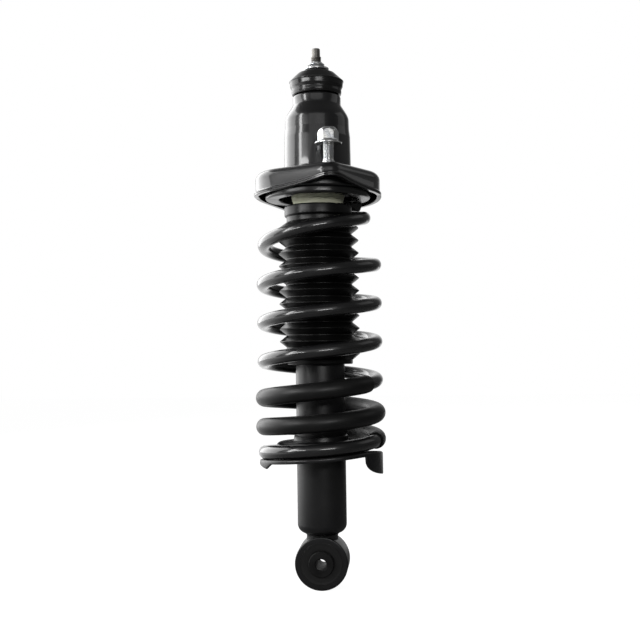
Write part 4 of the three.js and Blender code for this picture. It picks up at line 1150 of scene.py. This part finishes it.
def hex_nut(name, foot, height, across, bore, flange_radius, at=(0, 0), turn=0.0):
    """Hexagon nut with chamfered corners on a round flange that spreads to its foot."""
    corner = across / 2 / math.cos(math.pi / 6)
    levels = [
        (flange_radius - flange_bevel, foot),
        (flange_radius, foot + flange_bevel),
        (flange_radius, foot + flange_rim),
    ]
    for k in range(1, 8):
        share = k / 7
        spread = flange_radius + (corner - flange_neck - flange_radius) * math.sin(share * math.pi / 2)
        levels.append((spread, foot + flange_rim + flange_rise * share**1.5))
    cut_foot = foot + height * corner_cut_from
    for k in range(13):
        share = k / 12
        levels.append((corner + corner_room, foot + wall_from + (cut_foot - foot - wall_from) * share))
    for k in range(1, 9):
        share = k / 8
        cut = (corner - across / 2 + corner_cut) * share**corner_cut_power
        levels.append((corner + corner_room - cut, cut_foot + (foot + height - cut_foot) * share))
    levels += [(bore + nut_mouth, foot + height), (bore, foot + height - nut_mouth), (bore, foot)]
    rings = []
    for angle in around(nut_steps):
        flat = across / 2 / math.cos((angle + math.pi / 6) % (math.pi / 3) - math.pi / 6)
        ring = []
        for limit, h in levels:
            radius = limit
            if foot + flats_from < h and limit > bore + 1:
                radius = min(limit, flat) if h > foot + hexagon_from else max(min(limit, flange_radius), flat)
            ring.append((at[0] + radius * math.cos(angle + turn), at[1] + radius * math.sin(angle + turn), h))
        rings.append(ring)
    return skinned(name, rings, sharp=28)


stud_radius = 5
stud_pitch = 1.25
stud_thread_depth = 0.5
stud_thread_from = 2.6  # over the pan
stud_thread_short = 1.3  # of the tip
stud_head_radius = 8.5
stud_head = 3.2
stud_shank = stud_radius + 0.9  # pressed into the pan
shank_bevel = 0.4
shank_top = 1.4  # over the pan
shank_end = 2.0
stud_tip = 1.2
stud_tip_in = 1.4
stud_nut_across = 17
stud_nut_bore = stud_radius + 0.25
stud_nut_flange = 12.7
stud_nut_turn = math.radians(35)
stud_nut_low, stud_nut_high = box_of("front_stud_nut")
for place in ("front", "rear"):
    low, high = box_of(place + "_stud")
    spot = ((low.x + high.x) / 2, (low.y + high.y) / 2)
    stud = screw(
        place + "_stud_screw",
        rounded([
            (0, low.z),
            (stud_head_radius, low.z, 0.6),
            (stud_head_radius, low.z + stud_head, 0.4),
            (stud_radius, low.z + stud_head),
            (stud_shank, low.z + stud_head + shank_bevel),
            (stud_shank, pan_top + shank_top, 0.5),
            (stud_radius, pan_top + shank_end),
            (stud_radius, high.z - stud_tip),
            (stud_radius - stud_tip_in, high.z, 0.3),
            (0, high.z),
        ]),
        stud_pitch,
        stud_thread_depth,
        pan_top + stud_thread_from,
        high.z - stud_thread_short,
        spot,
    )
    dress(stud, "upper_mount", zinc, "zinc_plate", place + "_stud")
    nut = hex_nut(
        place + "_flange_nut",
        stud_nut_low.z,
        stud_nut_high.z - stud_nut_low.z,
        stud_nut_across,
        stud_nut_bore,
        stud_nut_flange,
        spot,
        stud_nut_turn,
    )
    dress(nut, "upper_mount", zinc, "zinc_plate", place + "_stud_nut")

# ------------------------------------------------------------------------------------ bump stop and its cup
# Cream polyurethane foam, moulded with rings that fold one after another. Its wide top is held by
# a steel cup welded inside the tower, and only a narrow ring of it shows over the boot.

# Foam skin: the height of the small open cells in a foam's surface.
foam_skin, given, put = shader_group(
    "foam_skin", [("Vector", "Vector", None), ("Cell", "Float", 1.0)], [("Height", "Float")]
)
cells_per_metre = calculate(foam_skin, "DIVIDE", 1 / MM, given["Cell"])
cells = add_node(foam_skin, "TexVoronoi", {"Vector": given["Vector"], "Scale": cells_per_metre})
foam_skin.links.new(cells.outputs["Distance"], put["Height"])

cream_foam, tree, shader, where = new_finish("cream_foam", IOR=1.4)
tone(tree, shader, where, (0.88, 0.89, 0.70), (0.76, 0.78, 0.57), 0.75, 0.9, 60.0)
foam = add_node(tree, "Group", {"Vector": where, "Cell": 0.7}, node_tree=foam_skin)
relief(tree, shader, foam.outputs["Height"], 0.12)

stop_low, stop_high = box_of("bump_stop")
boot_low, boot_high = box_of("dust_boot")
stop_radius = 26.2
stop_neck = 23.2
stop_nose = 17
stop_bore = 7.2
stop_rings = 3
stop_plain = 8  # height of the plain part over the rings
stop_ring_out = 3  # of the lowest ring, beyond the nose
stop_ring_from = 0.36  # share of a ring's height
stop_ring_to = 0.80
stop_ring_dip = 4
stop_lip = 2  # under the groove that holds the boot
stop_lip_height = 4
stop_groove_step = 0.6
stop_head_rise = 9
boot_wall = 1.5
groove_foot = boot_high.z - boot_wall - seat_gap
groove_top = boot_high.z + seat_gap
stop_corners = [(stop_bore, stop_high.z, 0.8), (stop_bore, stop_low.z, 1.5), (stop_nose, stop_low.z, 3)]
rings_top = groove_foot - stop_plain
ring_pitch = (rings_top - stop_low.z) / stop_rings
for i in reversed(range(stop_rings)):
    wide = stop_neck + (stop_nose + stop_ring_out - stop_neck) * i / stop_rings
    foot = rings_top - ring_pitch * (i + 1)
    stop_corners.append((wide, foot + ring_pitch * stop_ring_from, 3))
    stop_corners.append((wide, foot + ring_pitch * stop_ring_to, 3))
    stop_corners.append((wide - stop_ring_dip, foot + ring_pitch, 1.5))
stop_corners += [
    (stop_neck + stop_lip, groove_foot - stop_lip_height, 2),
    (stop_neck + stop_lip, groove_foot, 0.5),
    (stop_neck, groove_foot),
    (stop_neck, groove_top),
    (stop_neck + stop_groove_step, groove_top, 1),
    (stop_radius, groove_top + stop_head_rise, 2),
    (stop_radius, stop_high.z, 1),
]
bump_stop = turned("foam_bump_stop", rounded(stop_corners))
dress(bump_stop, "upper_mount", cream_foam, "cream_foam", "bump_stop")
finish_node("bump_stop_cup", gloss_black)

# ------------------------------------------------------------------------------------ dust boot
# Blow-moulded rubber bellows with eleven ridges. Its collar hooks into the bump stop's groove, and
# its foot is turned in under the tube cap's flange, so it folds up as the damper rises.

boot_rubber, tree, shader, where = new_finish("boot_rubber", IOR=1.36)
tone(tree, shader, where, (0.004, 0.004, 0.004), (0.0025, 0.0025, 0.0025), 0.28, 0.38, 35.0)
relief(tree, shader, grain_height(tree, where, 1.1), 0.015)

boot_ridges = 11
boot_valley = 32.2
boot_ridge = 39.2
boot_collar = 33.2
boot_shoulder_drop = 15.5
boot_collar_height = 9.5
boot_collar_step = 2
boot_collar_drop = 11
boot_foot_height = 4
boot_foot_room = 2.6  # round the tube
ridge_rounding = 0.5  # that a ridge's corner stands proud before it is rounded
valley_rounding = 0.3
boot_shoulder_in = 1
boot_foot_in = 1.2
boot_shoulder = boot_high.z - boot_shoulder_drop
boot_foot_top = boot_low.z + boot_foot_height
boot_foot_inner = tube_radius + boot_foot_room
boot_pitch = (boot_shoulder - boot_foot_top) / boot_ridges
boot_corners = [
    (stop_neck + seat_gap, boot_high.z),
    (boot_collar, boot_high.z, 1.6),
    (boot_collar, boot_high.z - boot_collar_height, 1.2),
    (boot_collar - boot_collar_step, boot_high.z - boot_collar_drop, 0.8),
    (boot_valley - boot_shoulder_in, boot_shoulder, 1.0),
]
for i in range(boot_ridges):
    boot_corners.append((boot_ridge + ridge_rounding, boot_shoulder - boot_pitch * (i + 0.5), 0.7))
    if i < boot_ridges - 1:
        boot_corners.append((boot_valley - valley_rounding, boot_shoulder - boot_pitch * (i + 1), 1.0))
boot_corners += [
    (boot_valley, boot_foot_top, 0.8),
    (boot_valley, boot_low.z, 1.2),
    (boot_foot_inner, boot_low.z, 0.5),
    (boot_foot_inner, boot_low.z + boot_wall, 0.5),
    (boot_valley - boot_foot_in - boot_wall, boot_low.z + boot_wall, 0.6),
]
for i in reversed(range(boot_ridges)):
    boot_corners.append((boot_ridge - boot_wall, boot_shoulder - boot_pitch * (i + 0.5), 0.6))
    if i:
        valley = boot_valley - boot_wall - valley_rounding
        boot_corners.append((valley, boot_shoulder - boot_pitch * i, 0.8))
boot_corners += [
    (boot_valley - boot_shoulder_in - boot_wall, boot_shoulder, 0.8),
    (boot_collar - boot_wall, boot_high.z - boot_wall, 0.8),
    (stop_neck + seat_gap, boot_high.z - boot_wall),
]
boot = turned("boot_bellows", rounded(boot_corners, 4))
boot.data.materials.append(boot_rubber)


def boot_share(point):
    """Share of the damper's travel that the bellows make: none at the collar, all at the foot."""
    return min(max((boot_shoulder - point.z / MM) / (boot_shoulder - boot_foot_top), 0), 1)


blend_down(boot, "dust_boot", boot_high, boot_low, boot_share)

# ------------------------------------------------------------------------------------ bushings and collar
# The rod is held in rubber: a domed bushing on the tower's top plate, another under it, and a steel
# collar through both that sets how hard they are squeezed. The upper one shows its mould's edge.

bushing_rubber, tree, shader, where = new_finish("bushing_rubber", IOR=1.5)
tone(tree, shader, where, (0.012, 0.012, 0.012), (0.007, 0.007, 0.007), 0.16, 0.26, 50.0)
relief(tree, shader, grain_height(tree, where, 1.4), 0.01)

bushing_low, bushing_high = box_of("upper_bushing")
bushing_foot = tower_high.z + seat_gap
bushing_bore = 9.6
bushing_crown = 12.5
# Radius, height over the tower's top and fillet, from the foot over the mould's edge to the dome.
bushing_dome = [
    (24.0, 0, 1.5), (24.6, 3.0, 3), (24.5, 5.8, 3), (25.9, 8.6, 3), (26.3, 12.6, 1.5), (26.8, 13.3, 0.2),
    (26.8, 13.9, 0.2), (26.0, 14.5, 0.4), (22.4, 18.0, 4), (18.6, 21.6, 0.6), (18.2, 21.9, 0.3),
]
bushing_corners = [
    (bushing_bore, bushing_low.z, 0.5),
    (tower_mouth - seat_gap, bushing_low.z, 0.5),
    (tower_mouth - seat_gap, bushing_foot),
    *[(radius, bushing_foot + height, fillet) for radius, height, fillet in bushing_dome],
    (bushing_crown + 1.1, bushing_high.z - 0.4, 0.6),
    (bushing_crown, bushing_high.z, 0.4),
    (bushing_bore, bushing_high.z, 0.5),
]
bushing = turned("domed_bushing", rounded(bushing_corners, 8), 144)
dress(bushing, "upper_mount", bushing_rubber, "black_rubber", "upper_bushing")
finish_node("lower_bushing", bushing_rubber)
finish_node("bushing_collar", zinc)
finish_node("lower_washer", dark_steel)

# ------------------------------------------------------------------------------------ washer and rod nut
# Dished washer and M10 flange nut, both zinc plated. They clamp the bushings against the rod's
# shoulder.

washer_low, washer_high = box_of("upper_washer")
washer_bore = 5.3
washer_radius = 12.5
washer_flat = 10.4
washer_sheet = 2.5
washer = turned(
    "dished_washer",
    rounded([
        (washer_bore, washer_low.z, 0.3),
        (washer_flat, washer_low.z, 1.5),
        (washer_radius, washer_high.z - washer_sheet, 0.8),
        (washer_radius, washer_high.z, 0.9),
        (washer_flat, washer_low.z + washer_sheet, 1.5),
        (washer_bore, washer_low.z + washer_sheet, 0.3),
    ]),
)
dress(washer, "upper_mount", zinc, "zinc_plate", "upper_washer")

rod_nut_low, rod_nut_high = box_of("rod_nut")
rod_nut_across = 14
rod_nut_bore = 5.2
rod_nut_flange = 10
rod_nut_turn = math.radians(20)
rod_nut = hex_nut(
    "rod_flange_nut",
    rod_nut_low.z,
    rod_nut_high.z - rod_nut_low.z,
    rod_nut_across,
    rod_nut_bore,
    rod_nut_flange,
    turn=rod_nut_turn,
)
dress(rod_nut, "upper_mount", zinc, "zinc_plate", "rod_nut")

# ------------------------------------------------------------------------------------ piston rod
# Ground steel rod with an M10 thread at its top, and at the very tip two flats that hold it while
# the nut is turned. Its threaded end is phosphated grey-brown.

rod_steel, tree, shader, where = new_finish("rod_steel", Metallic=0.85)
tone(tree, shader, where, (0.25, 0.24, 0.225), (0.15, 0.145, 0.135), 0.3, 0.44, 150.0)
relief(tree, shader, tool_height(tree, where, 0.3), 0.006)

rod_low, rod_high = box_of("piston_rod")
rod_radius = 6.25
rod_thread = 5
rod_spigot = 4
rod_shoulder = box_of("lower_washer")[1].z - washer_sheet - seat_gap
spigot_top = box_of("piston")[1].z + seat_gap
rod_pitch = 1.25
rod_thread_depth = 0.7
rod_thread_below = 4  # the nut
rod_tip = rod_thread - 0.8
rod_tip_end = rod_thread - 1.4
rod_tip_bevel = 0.6
rod_run_out = 0.2
rod_thread_short = 0.3  # of the flats
flat_reach = 9  # of the tool that cuts the flats, out from the axis
flat_half_width = 8
flat_over = 2
rod_flats = 8.3
rod_flats_across = 7.6
rod_thread_top = rod_high.z - rod_flats
rod_piece = screw(
    "ground_rod",
    rounded([
        (0, rod_low.z),
        (rod_spigot, rod_low.z, 0.4),
        (rod_spigot, spigot_top),
        (rod_radius, spigot_top, 0.4),
        (rod_radius, rod_shoulder, 0.5),
        (rod_thread, rod_shoulder),
        (rod_thread, rod_thread_top - rod_run_out),
        (rod_tip, rod_thread_top + rod_tip_bevel),
        (rod_tip, rod_high.z - rod_tip_bevel, 0.3),
        (rod_tip_end, rod_high.z, 0.2),
        (0, rod_high.z),
    ]),
    rod_pitch,
    rod_thread_depth,
    rod_nut_low.z - rod_thread_below,
    rod_thread_top - rod_thread_short,
)
for side in (-1, 1):
    flat_cut = bpy.data.meshes.new("flat_cut")
    near, far = side * rod_flats_across / 2, side * flat_reach
    corners = [
        (x * MM, y * MM, z * MM)
        for z in (rod_thread_top + rod_thread_short, rod_high.z + flat_over)
        for x, y in (
            (near, -flat_half_width), (far, -flat_half_width), (far, flat_half_width), (near, flat_half_width)
        )
    ]
    flat_cut.from_pydata(
        corners, [], [(0, 3, 2, 1), (4, 5, 6, 7), (0, 1, 5, 4), (1, 2, 6, 5), (2, 3, 7, 6), (3, 0, 4, 7)]
    )
    flat_tool = bpy.data.objects.new("flat_cut", flat_cut)
    bpy.context.scene.collection.objects.link(flat_tool)
    combine(rod_piece, flat_tool, "DIFFERENCE")
dress(rod_piece, "upper_mount", rod_steel, "dark_steel", "piston_rod")
